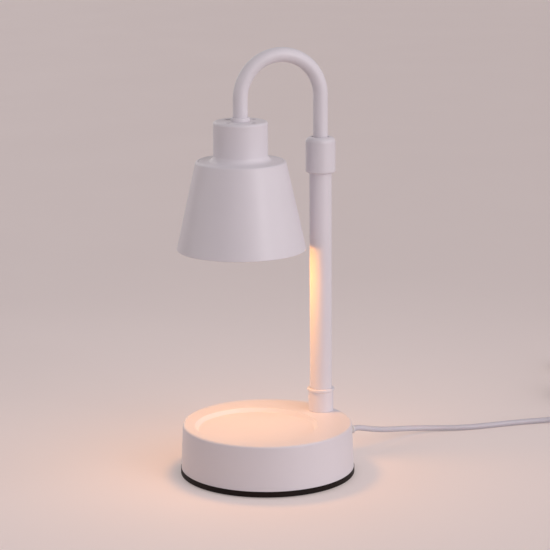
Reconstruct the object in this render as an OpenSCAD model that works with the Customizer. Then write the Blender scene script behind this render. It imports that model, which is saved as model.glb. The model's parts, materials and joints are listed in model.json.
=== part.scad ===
// Candle warmer lamp: a round weighted base with a candle dish, a telescopic
// column with a twist collar, and a bent arm that carries a downward shade with
// a halogen bulb. The mains lead leaves the back of the base and ends in an
// in-line dimmer, a tied coil and a plug.
//
// Millimetres, +Z up. The origin is the centre of the base on the table. The
// column stands at the back (+Y) and the dish lies at the front (-Y).

/* [Base] */
// Diameter of the black foot ring
base_d = 130; // [112:1:150]
// Height of the base, from the table to its top
base_h = 38.4; // [34:0.2:50]
// Height of the foot ring's upper edge above the table
ring_h = 6.4; // [6:0.1:8]
// Radius of the foot ring's outer edges
ring_edge_r = 0.8; // [0.3:0.1:1.2]
// How far the shell is set in from the foot ring
shell_inset = 0.4; // [0.2:0.1:1.2]
// How much the shell's radius shrinks from bottom to top
shell_draft = 1.5; // [0:0.1:2.5]
// Radius of the shell's top edge
shell_edge_r = 1.8; // [1:0.1:2.4]
// Wall of the shell
shell_wall = 2; // [1.6:0.1:2.4]
// Width of the flat land in front of the dish
front_land = 7.3; // [5:0.1:12]
// Width of the flat land between the dish and the column's foot
rear_land = 7.1; // [4:0.1:14]
// Depth of the candle dish
dish_depth = 3; // [2:0.1:5]
// Horizontal run of the dish's sloping wall
dish_slope = 2.2; // [1:0.1:4]
// Thickness of the anti-slip pad under the base
pad_t = 2; // [1.6:0.1:2.4]
// How far the pad stands proud of the foot ring
pad_proud = 0.8; // [0.4:0.1:1]
// Width of the foot ring around the pad
pad_margin = 6.8; // [5:0.1:10]
// Thickness of the bottom plate's floor
floor_t = 3; // [2.6:0.1:3.4]
// Height of the steel weight
weight_h = 8; // [5:0.5:10]

/* [Column] */
// How far the column's axis lies in from the shell's top outline
column_inset = 11; // [11:0.5:14]
// Diameter of the column tube
column_d = 16.6; // [14.6:0.2:18]
// Wall of the column tube
column_wall = 1.2; // [1:0.1:1.5]
// Height of the column that shows between the base and the collar
column_h = 183.3; // [160:1:230]
// Wall of the ferrule at the column's foot
foot_wall = 1.1; // [1.1:0.1:1.6]
// Height of the ferrule at the column's foot
foot_h = 17.7; // [12:0.1:25]
// Height of the ferrule's lip
foot_lip_h = 2.2; // [1.5:0.1:3]
// How far the ferrule's lip stands out
foot_lip_w = 0.8; // [0.4:0.1:1.2]

/* [Collar] */
// Diameter of the twist collar
collar_d = 22.2; // [21.6:0.2:26]
// Height of the twist collar
collar_h = 26.8; // [24:0.2:32]
// Radius of the collar's upper edge
collar_top_r = 4; // [2:0.1:4.5]
// Radius of the collar's lower edge
collar_low_r = 1.6; // [0.6:0.1:2]
// How far the column tube reaches into the collar
column_in_collar = 6.3; // [5:0.1:8]

/* [Arm] */
// Diameter of the arm tube
arm_d = 10.9; // [9.9:0.1:11.5]
// Wall of the arm tube
arm_wall = 1; // [0.8:0.1:1.2]
// Straight length of the arm tube that shows above the collar
arm_out = 30.9; // [29:0.1:60]
// Straight length of the arm tube between its bend and the shade
drop_leg = 15.9; // [8:0.1:40]
// Turn of the arm about the column, 0 when it points straight ahead
arm_turn = -18.7; // [-60:0.1:60]
// How far the arm can be pulled up from here
travel_up = 60; // [40:1:75]
// Length of the bush that guides the arm in the column
bush_h = 18; // [12:1:25]
// Height of the two rings that keep the bush on the arm tube
keeper_h = 3; // [2:0.5:4]

/* [Shade] */
// Radius of the shade's cap
cap_r = 20.1; // [19:0.1:24]
// Height of the shade's cap above the shoulder
cap_h = 29.3; // [28.5:0.1:40]
// Radius of the shade's shoulder
shoulder_r = 33.2; // [31:0.1:38]
// Radius of the shade's mouth
mouth_r = 47.9; // [42:0.1:49]
// Height of the shade's cone below the shoulder
cone_h = 65.8; // [60:0.1:90]
// Fall of the shoulder from the cap to its edge
shoulder_fall = 0.6; // [0:0.1:2]
// Radius between the cap and the shoulder
neck_fillet_r = 4.2; // [1.5:0.1:4.5]
// Radius of the cap's upper edge
cap_edge_r = 2; // [1.4:0.1:3]
// Radius of the shoulder's edge
shoulder_edge_r = 1.8; // [1.4:0.1:3]
// Thickness of the shade's metal
shade_t = 1.2; // [0.8:0.1:1.3]
// Number of vent holes in the cap
vent_count = 4; // [3:1:8]
// Diameter of a vent hole
vent_d = 4.4; // [2:0.1:5]
// Radius of the ring of vent holes
vent_ring_r = 13; // [11.5:0.1:15]
// Turn of the vent holes about the shade
vent_turn = 25; // [0:1:90]
// Diameter of the ring nut on top of the cap
crown_d = 13.8; // [13.2:0.1:15]
// Height of the ring nut
crown_h = 2.9; // [2.6:0.1:5]

/* [Bulb] */
// Diameter of the reflector bulb
bulb_d = 50; // [50:0.5:51]
// Length of the bulb below its holder
bulb_h = 50; // [48:0.5:54]
// Distance between the bulb's two pins
pin_pitch = 10; // [10:0.1:10.2]

/* [Mains lead] */
// Diameter of the mains lead
cord_d = 4.5; // [3.8:0.1:5]
// Height of the lead's outlet above the table
outlet_z = 17; // [16:0.1:17.4]
// Length of the strain relief outside the shell
boot_l = 20; // [20:0.5:20]
// Mean pitch of the coil's turns, from centre to centre
coil_pitch = 5; // [5:0.05:5.6]
// Layers in the coil
coil_layers = 4; // [2:2:4]

/* [Dimmer and plug] */
// Length of the dimmer's case
dimmer_l = 52; // [52:1:60]
// Width of the dimmer's case
dimmer_w = 26; // [24:1:32]
// Height of the dimmer's case
dimmer_h = 16; // [15:1:20]
// Diameter of the dimmer's thumb wheel
wheel_d = 21; // [19:0.5:22]
// Distance between the plug's two blades
blade_pitch = 12.7; // [12.7:0.1:12.7]

/* [Hidden] */
$fn = 96;

// colours
white_paint = [0.93, 0.92, 0.93];
black_abs = [0.07, 0.06, 0.06];
rubber_grey = [0.12, 0.12, 0.12];
steel = [0.72, 0.73, 0.75];
brass = [0.83, 0.68, 0.38];
nylon = [0.88, 0.86, 0.80];
ceramic = [0.95, 0.94, 0.90];
glass = [0.85, 0.9, 0.93, 0.5];
lead_white = [0.94, 0.93, 0.92];
board_green = [0.1, 0.35, 0.2];

// clearances
turning_gap = 0.05;   // radial, between a piece that turns or slides and its bearing
seat_gap = 0.05;      // radial, between a fixed piece and the hole that holds it
loose_gap = 0.3;      // between pieces that only lie beside each other
eps = 0.01;           // overshoot of a cut past the face it opens

// small screws: shank radius, head radius, head height
m3 = [1.5, 2.8, 1.7];
m4 = [1.9, 3.6, 1.9];

// base
ring_r = base_d / 2;
shell_r = ring_r - shell_inset;
shell_top_r = shell_r - shell_draft;
pad_r = ring_r - pad_margin;
floor_z = pad_t + floor_t;
lip_h = 2.6;
lip_w = 2.1;
lip_r = shell_r - shell_wall - loose_gap;
boss_r = 3.5;
boss_ring_r = lip_r - lip_w - boss_r - 2.2;
boss_turn = 45;
boss_count = 4;
weight_r = boss_ring_r - boss_r - 3.5;
weight_top = floor_z + weight_h;
weight_screw_ring_r = weight_r * 0.6;
weight_screw_count = 3;
column_y = shell_top_r - column_inset;
foot_d = column_d + 2 * (seat_gap + foot_wall);
foot_lip_r = foot_d / 2 + foot_lip_w;
dish_front_y = -(shell_top_r - front_land);
dish_rear_y = column_y - foot_lip_r - rear_land;
dish_r = (dish_rear_y - dish_front_y) / 2;
dish_y = (dish_rear_y + dish_front_y) / 2;
dish_z = base_h - dish_depth;

// column
column_r = column_d / 2;
column_bore_r = column_r - column_wall;
column_top = base_h + column_h + column_in_collar;
stud_r = 5;
stud_bore_r = 3.4;
washer_t = 1.4;
nut_h = 5;
nut_r = 8;            // across the corners
stud_low = base_h - shell_wall - washer_t - nut_h - 0.8;
plug_h = 12;
stud_top = base_h + plug_h - 2;

// collar and column head
collar_r = collar_d / 2;
collar_low = base_h + column_h;
collar_high = collar_low + collar_h;
collar_bore_r = column_r + 0.08;
spigot_h = 14;
head_low = column_top - spigot_h;
head_thread_h = 11;
head_top = column_top + head_thread_h;
collet_h = 6;
collet_slit = 1.2;
collar_roof = 2.8;

// arm
arm_r = arm_d / 2;
arm_bore_r = arm_r - arm_wall;
reach = column_y - dish_y;
bend_r = reach / 2;
bend_z = collar_high + arm_out;
keeper_gap = 0.2;
keeper_r = column_bore_r - loose_gap;
upper_keeper_z = head_low - travel_up - loose_gap - keeper_h;
bush_top = upper_keeper_z - keeper_gap;
bush_low = bush_top - bush_h;
lower_keeper_z = bush_low - keeper_gap - keeper_h;
arm_low = lower_keeper_z - 1;

// shade
shade_top = bend_z - drop_leg;
shoulder_z = shade_top - cap_h;
mouth_z = shoulder_z - cone_h;
cone_lean = atan((mouth_r - shoulder_r) / cone_h);
flange_r = shoulder_r - shoulder_edge_r - 0.4;
land_w = 2.5;
land_z = shoulder_z - shade_t - seat_gap;
crown_seat = 1.4;
arm_end_z = shade_top + crown_h - crown_seat;
insert_wall = 0.35;
insert_h = 9;
nipple_wall = 1.3;
nipple_r = arm_bore_r - insert_wall - 2 * seat_gap;
nipple_bore_r = nipple_r - nipple_wall;
shade_washer_t = 1;
strap_t = 1.2;
strap_w = 12;
strap_l = 31;
shade_nut_h = 4.5;
strap_top = shade_top - shade_t - shade_washer_t;
nipple_low = strap_top - strap_t - shade_nut_h - 1;
holder_r = 13.5;
holder_h = 17;
holder_top = nipple_low - 7;
foot_top = holder_top + strap_t;
holder_screw_x = 9.5;

// bulb, hung from the holder's face
bulb_top = holder_top - holder_h;
bulb_base_r = 12.2;
bulb_base_h = 10;
bulb_low = bulb_top - bulb_h;
glass_t = 1.4;
lens_t = 2;
lens_r = bulb_d / 2 - glass_t - seat_gap;
pin_r = 1.3;
pin_head_r = 2.3;
pin_l = 6;
pin_head_h = 2;

// leads
cord_r = cord_d / 2;
cord_sides = 8;
lead_r = 1.6;
lead_sides = 8;
slack_low = base_h + plug_h + 10;
slack_swing = 4.6;
slack_turns = 5;
slack_rings = 12;

// outlet
outlet_wall_y = shell_r_at(outlet_z);
boot_tip = outlet_wall_y + boot_l;
gland_neck_r = 3.9;
gland_flange_r = 5.4;
gland_flange_t = 2;
gland_seat = gland_flange_r * shell_draft / (base_h - ring_h) + 0.1;
boot_root_r = 4.4;
boot_tip_r = 3;
boot_ribs = 6;

// terminal block
block_x = -4;
block_y = 1;
block_l = 18;
block_w = 18;
block_h = 10;
block_pitch = 9;
clamp_z = weight_top + cord_r + 0.1;
clamp_y = 27;
clamp_w = 6;
clamp_t = 1.6;
clamp_reach = cord_r + 5.4;

// in-line dimmer: it lies on the table, its length along dimmer_turn
dimmer_pos = [75, 318];
dimmer_turn = 69;
dimmer_wall = 1.8;
dimmer_corner_r = 8;
dimmer_boot_l = 8;
dimmer_axis_z = dimmer_h / 2;
wheel_y = -(dimmer_w / 2 + 3.5 - wheel_d / 2);
wheel_t = 5;
axle_r = 1.5;
dimmer_screw_x = dimmer_l / 2 - 7;
dimmer_screw_y = -dimmer_w / 2 + 5.4;
board_x = -14;
board_y = 4.2;
board_w = 6.6;
board_z = dimmer_wall + 1.2;

// coil: the turns of one unbroken lead, tied, on the table
coil_x = 28;
coil_y = 337;
coil_out_r = 30.1;
coil_start = 110;
coil_end = 80;
coil_loops = 9;
coil_turns = coil_loops - (coil_start - coil_end) / 360;
coil_rings = 24;
coil_sides = 6;
layer_turns = coil_turns / coil_layers;
coil_in_r = coil_out_r - coil_pitch * layer_turns;
tie_t = 1;
tie_w = 8;
tie_gap = 0.15;
tie_turn = 215;
coil_z = tie_t + 0.1 + cord_r;

// plug
plug_x = -15.3;
plug_y = 377.45;
plug_turn = 165;
plug_boot_l = 16;
plug_l = 26;
plug_w = 24;
plug_h_out = 16;
blade_l = 16;
blade_w = 6.3;
blade_t = 1.5;

// radius of the shell's side at height z
function shell_r_at(z) = shell_r - shell_draft * (z - ring_h) / (base_h - ring_h);

// a point of the dimmer's lead axis, out past its boot (side 1 or -1) by d
function dimmer_end(side, d) = let(s = side * (dimmer_l / 2 + dimmer_boot_l + d))
    [dimmer_pos[0] + s * cos(dimmer_turn), dimmer_pos[1] + s * sin(dimmer_turn), dimmer_axis_z];

// points on an arc from angle a0 to angle a1
function arc(centre, r, a0, a1, steps = 8) =
    [for (i = [0 : steps]) let(a = a0 + (a1 - a0) * i / steps) centre + r * [cos(a), sin(a)]];

function unit(v) = v / norm(v);
function smooth(x) = x * x * (3 - 2 * x);

// tangents of a route, and a side vector carried along it without twist
function tangents(p) =
    [for (i = [0 : len(p) - 1]) unit(p[min(i + 1, len(p) - 1)] - p[max(i - 1, 0)])];
function carried(t, n, i = 0, out = []) =
    i == len(t) ? out
    : let(m = unit(n - (n * t[i]) * t[i])) carried(t, m, i + 1, concat(out, [m]));

// a closed tube along route p
module swept(p, r, sides, first_side = [0.1, 0.2, 1]) {
    t = tangents(p);
    n = carried(t, first_side);
    rings = [for (i = [0 : len(p) - 1], j = [0 : sides - 1])
        let(a = 360 * j / sides) p[i] + r * (cos(a) * n[i] + sin(a) * cross(t[i], n[i]))];
    last = (len(p) - 1) * sides;
    walls = [for (i = [0 : len(p) - 2], j = [0 : sides - 1])
        let(a = i * sides + j, b = i * sides + (j + 1) % sides)
        each [[a, b + sides, b], [a, a + sides, b + sides]]];
    ends = [for (j = [1 : sides - 2]) each [[0, j, j + 1], [last, last + j + 1, last + j]]];
    polyhedron(rings, concat(walls, ends));
}

// the coil's centre line after t turns: it spirals in and out, layer by layer,
// and climbs a layer in the half turn where the spiral reverses
function coil_layer(t) = min(floor(t / layer_turns), coil_layers - 1);
function coil_radius(t) = let(k = coil_layer(t), s = t - k * layer_turns)
    k % 2 == 0 ? coil_out_r - coil_pitch * s : coil_in_r + coil_pitch * s;
function climb(t, k) = smooth(min(1, max(0, (t - k * layer_turns) * 2 + 0.5)));
function coil_height(t) =
    coil_z + coil_pitch * (coil_layers < 3 ? climb(t, 1) : climb(t, 1) + climb(t, 2) + climb(t, 3));
function coil_point(t) = let(a = coil_start + 360 * t, r = coil_radius(t))
    [coil_x + r * cos(a), coil_y + r * sin(a), coil_height(t)];
coil_steps = round(coil_turns * coil_rings);
coil_entry_way = [sin(coil_start), -cos(coil_start), 0];
coil_exit_way = [-sin(coil_end), cos(coil_end), 0];
coil_entry = coil_point(0) + cord_d * coil_entry_way;
coil_exit = coil_point(coil_turns) + cord_d * coil_exit_way;
coil_line = concat([coil_entry], [for (i = [0 : coil_steps]) coil_point(coil_turns * i / coil_steps)],
    [coil_exit]);
coil_gap = min([for (i = [0 : len(coil_line) - 1], j = [i + coil_rings / 2 : len(coil_line) - 1])
    norm(coil_line[i] - coil_line[j])]) - cord_d;

// routes of the lead's free stretches, chosen by hand
to_dimmer_route = [
    [0, boot_tip, outlet_z], [0, boot_tip + cord_d, outlet_z], [0.2, 97, 15], [0.2, 106, 12.6],
    [0, 118, 10], [-0.8, 130, 7.9], [-1, 142, 6], [0.5, 154, 4.3], [4.5, 165, 3.2],
    [10.5, 176, 2.6], [17, 188, 2.3], [23, 201, 2.3], [28.2, 215, 2.3], [34, 230, 2.3],
    [40.5, 244, 2.4], [47, 254.5, 3], [52.5, 263, 4.6], [56.2, 270.5, 6.6],
    dimmer_end(-1, 9), dimmer_end(-1, 0)
];
to_coil_route = [
    dimmer_end(1, 0), dimmer_end(1, 9), [91.6, 365, 6.2], [90.4, 373, 4.4], [86, 379.6, 3],
    [79, 383.8, 2.4], [70, 385, 2.3], [59, 383.4, 2.3], [48, 379.9, 2.3], [39.5, 375.8, 2.4],
    [32.5, 371.6, 2.9], coil_entry + cord_d * coil_entry_way, coil_entry
];
tail_route = [
    coil_exit, coil_exit + cord_d * coil_exit_way, [20, 369.05, 17.3], [11.2, 370.9, 14.9],
    [2.4, 372.9, 12.1], [-4.5, 374.6, 9.8], [-9.4, 375.9, 8.4],
    [-11.4, 376.4, 8], [plug_x, plug_y, plug_h_out / 2]
];
supply_route = [
    [0, boot_tip, outlet_z], [0, 72, outlet_z], [0, 62, outlet_z], [0, 56, outlet_z],
    [0, 50, outlet_z], [-1.4, 44, 16.4], [-3.2, 39, 15.5], [block_x, 34, clamp_z],
    [block_x, 26, clamp_z], [block_x, 21.5, 15.9], [block_x, 17.5, 17.2],
    [block_x, block_y + block_w / 2 + cord_d, weight_top + block_h / 2],
    [block_x, block_y + block_w / 2, weight_top + block_h / 2]
];
column_route = [
    [block_x, block_y - block_w / 2, 18], [block_x, -13, 18], [-1.5, -19, 17.8], [3.5, -24, 17.6],
    [10.5, -26, 17.5], [17.5, -23.5, 17.5], [22.5, -17.5, 17.6], [25.5, -9, 18], [26, 0, 18.6],
    [24.8, 9, 19.3], [22.5, 18, 20.2], [19, 27, 21.2], [14.5, 35.5, 22.2],
    [8.6, column_y - 8, 22.7], [3.4, column_y - 3, 23.2], [0.8, column_y - 0.7, 25.4],
    [0, column_y, 29], [0, column_y, 38], [0, column_y, 48], [0, column_y, slack_low]
];

function run_length(p) =
    len(p) < 2 ? 0 : [for (i = [1 : len(p) - 1]) norm(p[i] - p[i - 1])] * [for (i = [1 : len(p) - 1]) 1];
echo(coil_gap = coil_gap, to_dimmer = run_length(to_dimmer_route), to_coil = run_length(to_coil_route),
    coil = run_length(coil_line), tail = run_length(tail_route), supply = run_length(supply_route));

module at_column() translate([0, column_y, 0]) children();
module on_arm() at_column() rotate([0, 0, arm_turn]) children();
module at_shade() on_arm() translate([0, -reach, 0]) children();
module around(count, r, turn = 0)
    for (i = [0 : count - 1]) rotate([0, 0, turn + 360 * i / count]) translate([r, 0, 0]) children();

module ring(r_out, r_in, h) difference() {
    cylinder(r = r_out, h = h);
    translate([0, 0, -eps]) cylinder(r = r_in, h = h + 2 * eps);
}

// a screw with its head down at z = 0 and its shank upwards
module screw_up(size, l) {
    difference() {
        cylinder(r = size[1], h = size[2]);
        translate([0, 0, -eps]) cylinder(r = size[0] * 0.8, h = size[2] * 0.6, $fn = 6);
    }
    translate([0, 0, size[2] - eps]) cylinder(r = size[0], h = l + eps);
}

// ---------------------------------------------------------------- base

module base_shell() color(white_paint) difference() {
    union() {
        difference() {
            rotate_extrude() polygon(concat(
                [[0, ring_h], [shell_r, ring_h]],
                arc([shell_top_r - shell_edge_r, base_h - shell_edge_r], shell_edge_r, 0, 90),
                [[0, base_h]]));
            difference() {
                translate([0, 0, ring_h - eps]) cylinder(
                    r1 = shell_r - shell_wall, r2 = shell_top_r - shell_wall,
                    h = base_h - ring_h - shell_wall + eps);
                translate([0, dish_y, dish_z - shell_wall])
                    cylinder(r = dish_r + 0.6, h = dish_depth + shell_wall);
            }
        }
        around(boss_count, boss_ring_r, boss_turn)
            translate([0, 0, floor_z]) cylinder(r = boss_r, h = base_h - shell_wall / 2 - floor_z);
    }
    translate([0, dish_y, dish_z]) cylinder(
        r1 = dish_r - dish_slope, r2 = dish_r + dish_slope * eps / dish_depth, h = dish_depth + eps);
    around(boss_count, boss_ring_r, boss_turn)
        translate([0, 0, floor_z - eps]) cylinder(r = m3[0] + seat_gap, h = 14);
    at_column() translate([0, 0, base_h - 2 * shell_wall]) cylinder(r = stud_r + 0.2, h = 3 * shell_wall);
    translate([0, shell_r_at(outlet_z) - 2 * shell_wall, outlet_z])
        rotate([-90, 0, 0]) cylinder(r = gland_neck_r + seat_gap, h = 4 * shell_wall);
}

module bottom_plate() color(black_abs) difference() {
    rotate_extrude() polygon(concat(
        [[0, pad_t], [pad_r + loose_gap, pad_t], [pad_r + loose_gap, pad_proud]],
        arc([ring_r - ring_edge_r, pad_proud + ring_edge_r], ring_edge_r, -90, 0),
        arc([ring_r - ring_edge_r, ring_h - ring_edge_r], ring_edge_r, 0, 90),
        [[lip_r, ring_h], [lip_r, ring_h + lip_h], [lip_r - lip_w, ring_h + lip_h],
         [lip_r - lip_w, floor_z], [0, floor_z]]));
    around(boss_count, boss_ring_r, boss_turn) translate([0, 0, pad_t - eps]) {
        cylinder(r = m3[1] + 0.2, h = m3[2] + eps);
        cylinder(r = m3[0] + 0.2, h = floor_t + 2 * eps);
    }
    around(weight_screw_count, weight_screw_ring_r) translate([0, 0, pad_t - eps]) {
        cylinder(r = m4[1] + 0.2, h = m4[2] + eps);
        cylinder(r = m4[0] + 0.2, h = floor_t + 2 * eps);
    }
}

module anti_slip_pad() color(rubber_grey) cylinder(r = pad_r, h = pad_t);

module counterweight() color(steel) difference() {
    translate([0, 0, floor_z]) cylinder(r = weight_r, h = weight_h);
    around(weight_screw_count, weight_screw_ring_r)
        translate([0, 0, floor_z - eps]) cylinder(r = m4[0] + seat_gap, h = weight_h * 0.8);
    clamp_holes(weight_top - 5) cylinder(r = m3[0] + seat_gap, h = 6);
    translate([block_x, block_y, weight_top - 5]) cylinder(r = m3[0] + seat_gap, h = 6);
}

module base_screws() color(steel) around(boss_count, boss_ring_r, boss_turn)
    translate([0, 0, pad_t]) screw_up(m3, 12);

module weight_screws() color(steel) around(weight_screw_count, weight_screw_ring_r)
    translate([0, 0, pad_t]) screw_up(m4, 7);

// ---------------------------------------------------------------- column

module foot_ferrule() color(white_paint) at_column() translate([0, 0, base_h]) rotate_extrude()
    polygon(concat(
        [[column_r + seat_gap, 0], [foot_d / 2, 0], [foot_d / 2, foot_h - foot_lip_h]],
        arc([foot_lip_r - 0.7, foot_h - foot_lip_h + 0.7], 0.7, -90, 0, 4),
        arc([foot_lip_r - 0.7, foot_h - 0.7], 0.7, 0, 90, 4),
        [[column_r + seat_gap, foot_h]]));

module column_tube() color(white_paint) at_column()
    translate([0, 0, base_h]) ring(column_r, column_bore_r, column_top - base_h);

module column_plug() color(steel) at_column()
    translate([0, 0, base_h]) ring(column_bore_r - seat_gap, stud_r + seat_gap, plug_h);

module column_stud() color(brass) at_column()
    translate([0, 0, stud_low]) ring(stud_r, stud_bore_r, stud_top - stud_low);

module column_washer() color(steel) at_column()
    translate([0, 0, base_h - shell_wall - washer_t]) ring(nut_r + 0.4, stud_r + 0.2, washer_t);

module column_nut() color(steel) at_column() translate([0, 0, base_h - shell_wall - washer_t - nut_h])
    difference() {
        cylinder(r = nut_r, h = nut_h, $fn = 6);
        translate([0, 0, -eps]) cylinder(r = stud_r + seat_gap, h = nut_h + 2 * eps);
    }

module column_head() color(brass) at_column() translate([0, 0, head_low]) difference() {
    union() {
        cylinder(r = column_bore_r - seat_gap, h = spigot_h);
        translate([0, 0, spigot_h]) cylinder(r = column_r, h = head_thread_h);
    }
    translate([0, 0, -eps]) cylinder(r = arm_r + turning_gap + 0.03, h = spigot_h + head_thread_h + 1);
}

module clamp_collet() color(nylon) at_column() translate([0, 0, head_top]) difference() {
    cylinder(r1 = column_r - 0.6, r2 = arm_r + 1.4, h = collet_h);
    translate([0, 0, -eps]) cylinder(r = arm_r + turning_gap, h = collet_h + 1);
    translate([0, -collet_slit / 2, -eps]) cube([column_r, collet_slit, collet_h + 1]);
}

module lock_collar() color(white_paint) at_column() difference() {
    rotate_extrude() polygon(concat(
        [[0, collar_low]],
        arc([collar_r - collar_low_r, collar_low + collar_low_r], collar_low_r, -90, 0),
        arc([collar_r - collar_top_r, collar_high - collar_top_r], collar_top_r, 0, 90, 12),
        [[0, collar_high]]));
    translate([0, 0, collar_low - eps]) cylinder(r = collar_bore_r, h = head_top + 0.4 - collar_low);
    translate([0, 0, head_top + 0.3]) cylinder(
        r1 = collar_bore_r, r2 = arm_r + 1.8, h = collar_high - collar_roof - head_top - 0.3);
    translate([0, 0, head_top]) cylinder(r = arm_r + 0.75, h = collar_high - head_top + eps);
}

// ---------------------------------------------------------------- leads inside the base

module cord_gland() color(white_paint) translate([0, 0, outlet_z]) rotate([-90, 0, 0]) difference() {
    union() {
        translate([0, 0, outlet_wall_y - shell_wall - 0.35 - gland_flange_t])
            cylinder(r = gland_flange_r, h = gland_flange_t);
        translate([0, 0, outlet_wall_y - shell_wall - 1]) cylinder(r = gland_neck_r, h = shell_wall + 2);
        translate([0, 0, outlet_wall_y + gland_seat]) cylinder(r = gland_flange_r, h = gland_flange_t);
        translate([0, 0, outlet_wall_y + gland_flange_t])
            cylinder(r1 = boot_root_r - 0.6, r2 = boot_tip_r, h = boot_l - gland_flange_t);
        for (i = [0 : boot_ribs - 1]) let(s = i / boot_ribs)
            translate([0, 0, outlet_wall_y + gland_flange_t + 0.9 + s * (boot_l - gland_flange_t)])
                cylinder(r = boot_root_r + (boot_tip_r - boot_root_r) * s, h = 1.5);
    }
    cylinder(r = cord_r + seat_gap, h = boot_tip + 1);
}

module supply_lead() color(lead_white) swept(supply_route, cord_r, 12);

module clamp_holes(z) for (side = [-1, 1])
    translate([block_x + side * clamp_reach, clamp_y + clamp_w / 2, z]) children();

module lead_clamp() color(nylon) difference() {
    translate([block_x, clamp_y, weight_top]) {
        translate([-clamp_reach - m3[1] - 0.4, 0, 0])
            cube([2 * (clamp_reach + m3[1] + 0.4), clamp_w, clamp_t]);
        translate([0, 0, clamp_z - weight_top]) rotate([-90, 0, 0]) cylinder(r = cord_r + 1.8, h = clamp_w);
        translate([-cord_r - 1.8, 0, 0]) cube([2 * cord_r + 3.6, clamp_w, cord_r]);
    }
    translate([block_x, clamp_y - 1, clamp_z]) rotate([-90, 0, 0]) cylinder(r = cord_r + 0.1, h = clamp_w + 2);
    translate([block_x - cord_r - 0.1, clamp_y - 1, weight_top - 1])
        cube([2 * cord_r + 0.2, clamp_w + 2, cord_r + 1.1]);
    translate([block_x - 15, clamp_y - 1, weight_top - 10]) cube([30, clamp_w + 2, 10]);
    clamp_holes(weight_top - 1) cylinder(r = m3[0] + 0.2, h = 4);
}

module clamp_screws() color(steel) clamp_holes(weight_top + clamp_t + m3[2])
    rotate([180, 0, 0]) screw_up(m3, 5.4);

module terminal_block() color(nylon) difference() {
    translate([block_x - block_l / 2, block_y - block_w / 2, weight_top]) cube([block_l, block_w, block_h]);
    for (i = [-1, 1], j = [-1, 1])
        translate([block_x + i * block_pitch / 2, block_y + j * block_pitch / 2, weight_top + block_h - 4])
            cylinder(r = 2.2, h = 5);
    translate([block_x, block_y, weight_top - 1]) cylinder(r = m3[0] + 0.1, h = block_h + 2);
    translate([block_x, block_y, weight_top + block_h - 3]) cylinder(r = 2.1, h = 4);
}

module terminal_screws() color(brass) {
    for (i = [-1, 1], j = [-1, 1])
        translate([block_x + i * block_pitch / 2, block_y + j * block_pitch / 2, weight_top + block_h - 4])
            difference() {
                cylinder(r = 2.1, h = 2.8);
                translate([-2.5, -0.3, 2]) cube([5, 0.6, 1]);
            }
    translate([block_x, block_y, weight_top - 4]) cylinder(r = m3[0], h = block_h + 1.2);
    translate([block_x, block_y, weight_top + block_h - 3]) cylinder(r = 2, h = 1.6);
}

module column_lead() color(lead_white) swept(column_route, lead_r, lead_sides, [1, 0.3, 0.2]);

// the spare length that lets the arm rise: a loose wave inside the column
module slack_lead() color(lead_white) {
    steps = slack_turns * slack_rings;
    top = arm_low - 1;
    low = slack_low;
    inner = [for (i = [0 : steps]) let(u = i / steps, a = 360 * slack_turns * u,
            r = slack_swing * smooth(min(1, 5 * u, 5 - 5 * u)))
        [r * cos(a), column_y + r * sin(a), low + 4 + (top - low - 8) * u]];
    swept(concat([[0, column_y, low]], inner, [[0, column_y, top]]), lead_r, 6, [1, 0, 0]);
}

// ---------------------------------------------------------------- arm

module guide_bush() color(nylon) at_column() translate([0, 0, bush_low])
    ring(column_bore_r - turning_gap, arm_r + turning_gap, bush_h);

module arm_solid(r, over = 0) {
    translate([0, 0, arm_low - over]) cylinder(r = r, h = bend_z - arm_low + over);
    translate([0, -reach, arm_end_z - over]) cylinder(r = r, h = bend_z - arm_end_z + over);
    translate([0, -bend_r, bend_z]) rotate([90, 0, 90])
        rotate_extrude(angle = 180) translate([bend_r, 0]) circle(r = r);
}

module arm_tube() color(white_paint) on_arm() difference() {
    arm_solid(arm_r);
    arm_solid(arm_bore_r, 1);
}

module upper_keeper() color(steel) on_arm() translate([0, 0, upper_keeper_z])
    ring(keeper_r, arm_r + seat_gap, keeper_h);

module lower_keeper() color(steel) on_arm() translate([0, 0, lower_keeper_z])
    ring(keeper_r, arm_r + seat_gap, keeper_h);

module arm_insert() color(brass) at_shade() translate([0, 0, arm_end_z])
    ring(arm_bore_r - seat_gap, nipple_r + seat_gap, insert_h);

// the cap's section, its surface moved inwards by t
function cap_side(t) = concat(
    arc([cap_r - cap_edge_r, shade_top - cap_edge_r], cap_edge_r - t, 90, 0),
    arc([cap_r + neck_fillet_r, shoulder_z + shoulder_fall + neck_fillet_r], neck_fillet_r + t, 180, 270),
    [[flange_r, shoulder_z - t]]);
function reversed(p) = [for (i = [len(p) - 1 : -1 : 0]) p[i]];

module shade_cap() color(white_paint) at_shade() difference() {
    rotate_extrude() polygon(concat(
        [[0, shade_top]], cap_side(0), reversed(cap_side(shade_t)), [[0, shade_top - shade_t]]));
    translate([0, 0, shade_top - 2 * shade_t]) {
        cylinder(r = nipple_r + seat_gap, h = 4 * shade_t);
        around(vent_count, vent_ring_r, vent_turn) cylinder(r = vent_d / 2, h = 4 * shade_t);
    }
}

// the cone, with a land inside its rolled edge that the cap's flange is seated on
module shade() color(white_paint) at_shade() rotate_extrude() polygon(concat(
    [[flange_r - land_w, land_z], [flange_r + seat_gap, land_z], [flange_r + seat_gap, shoulder_z]],
    arc([shoulder_r - shoulder_edge_r, shoulder_z - shoulder_edge_r], shoulder_edge_r, 90, cone_lean),
    [[mouth_r, mouth_z], [mouth_r - shade_t / cos(cone_lean), mouth_z],
     [mouth_r - shade_t / cos(cone_lean) - (land_z - shade_t - mouth_z) * tan(cone_lean), land_z - shade_t],
     [flange_r - land_w, land_z - shade_t]]));

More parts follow.
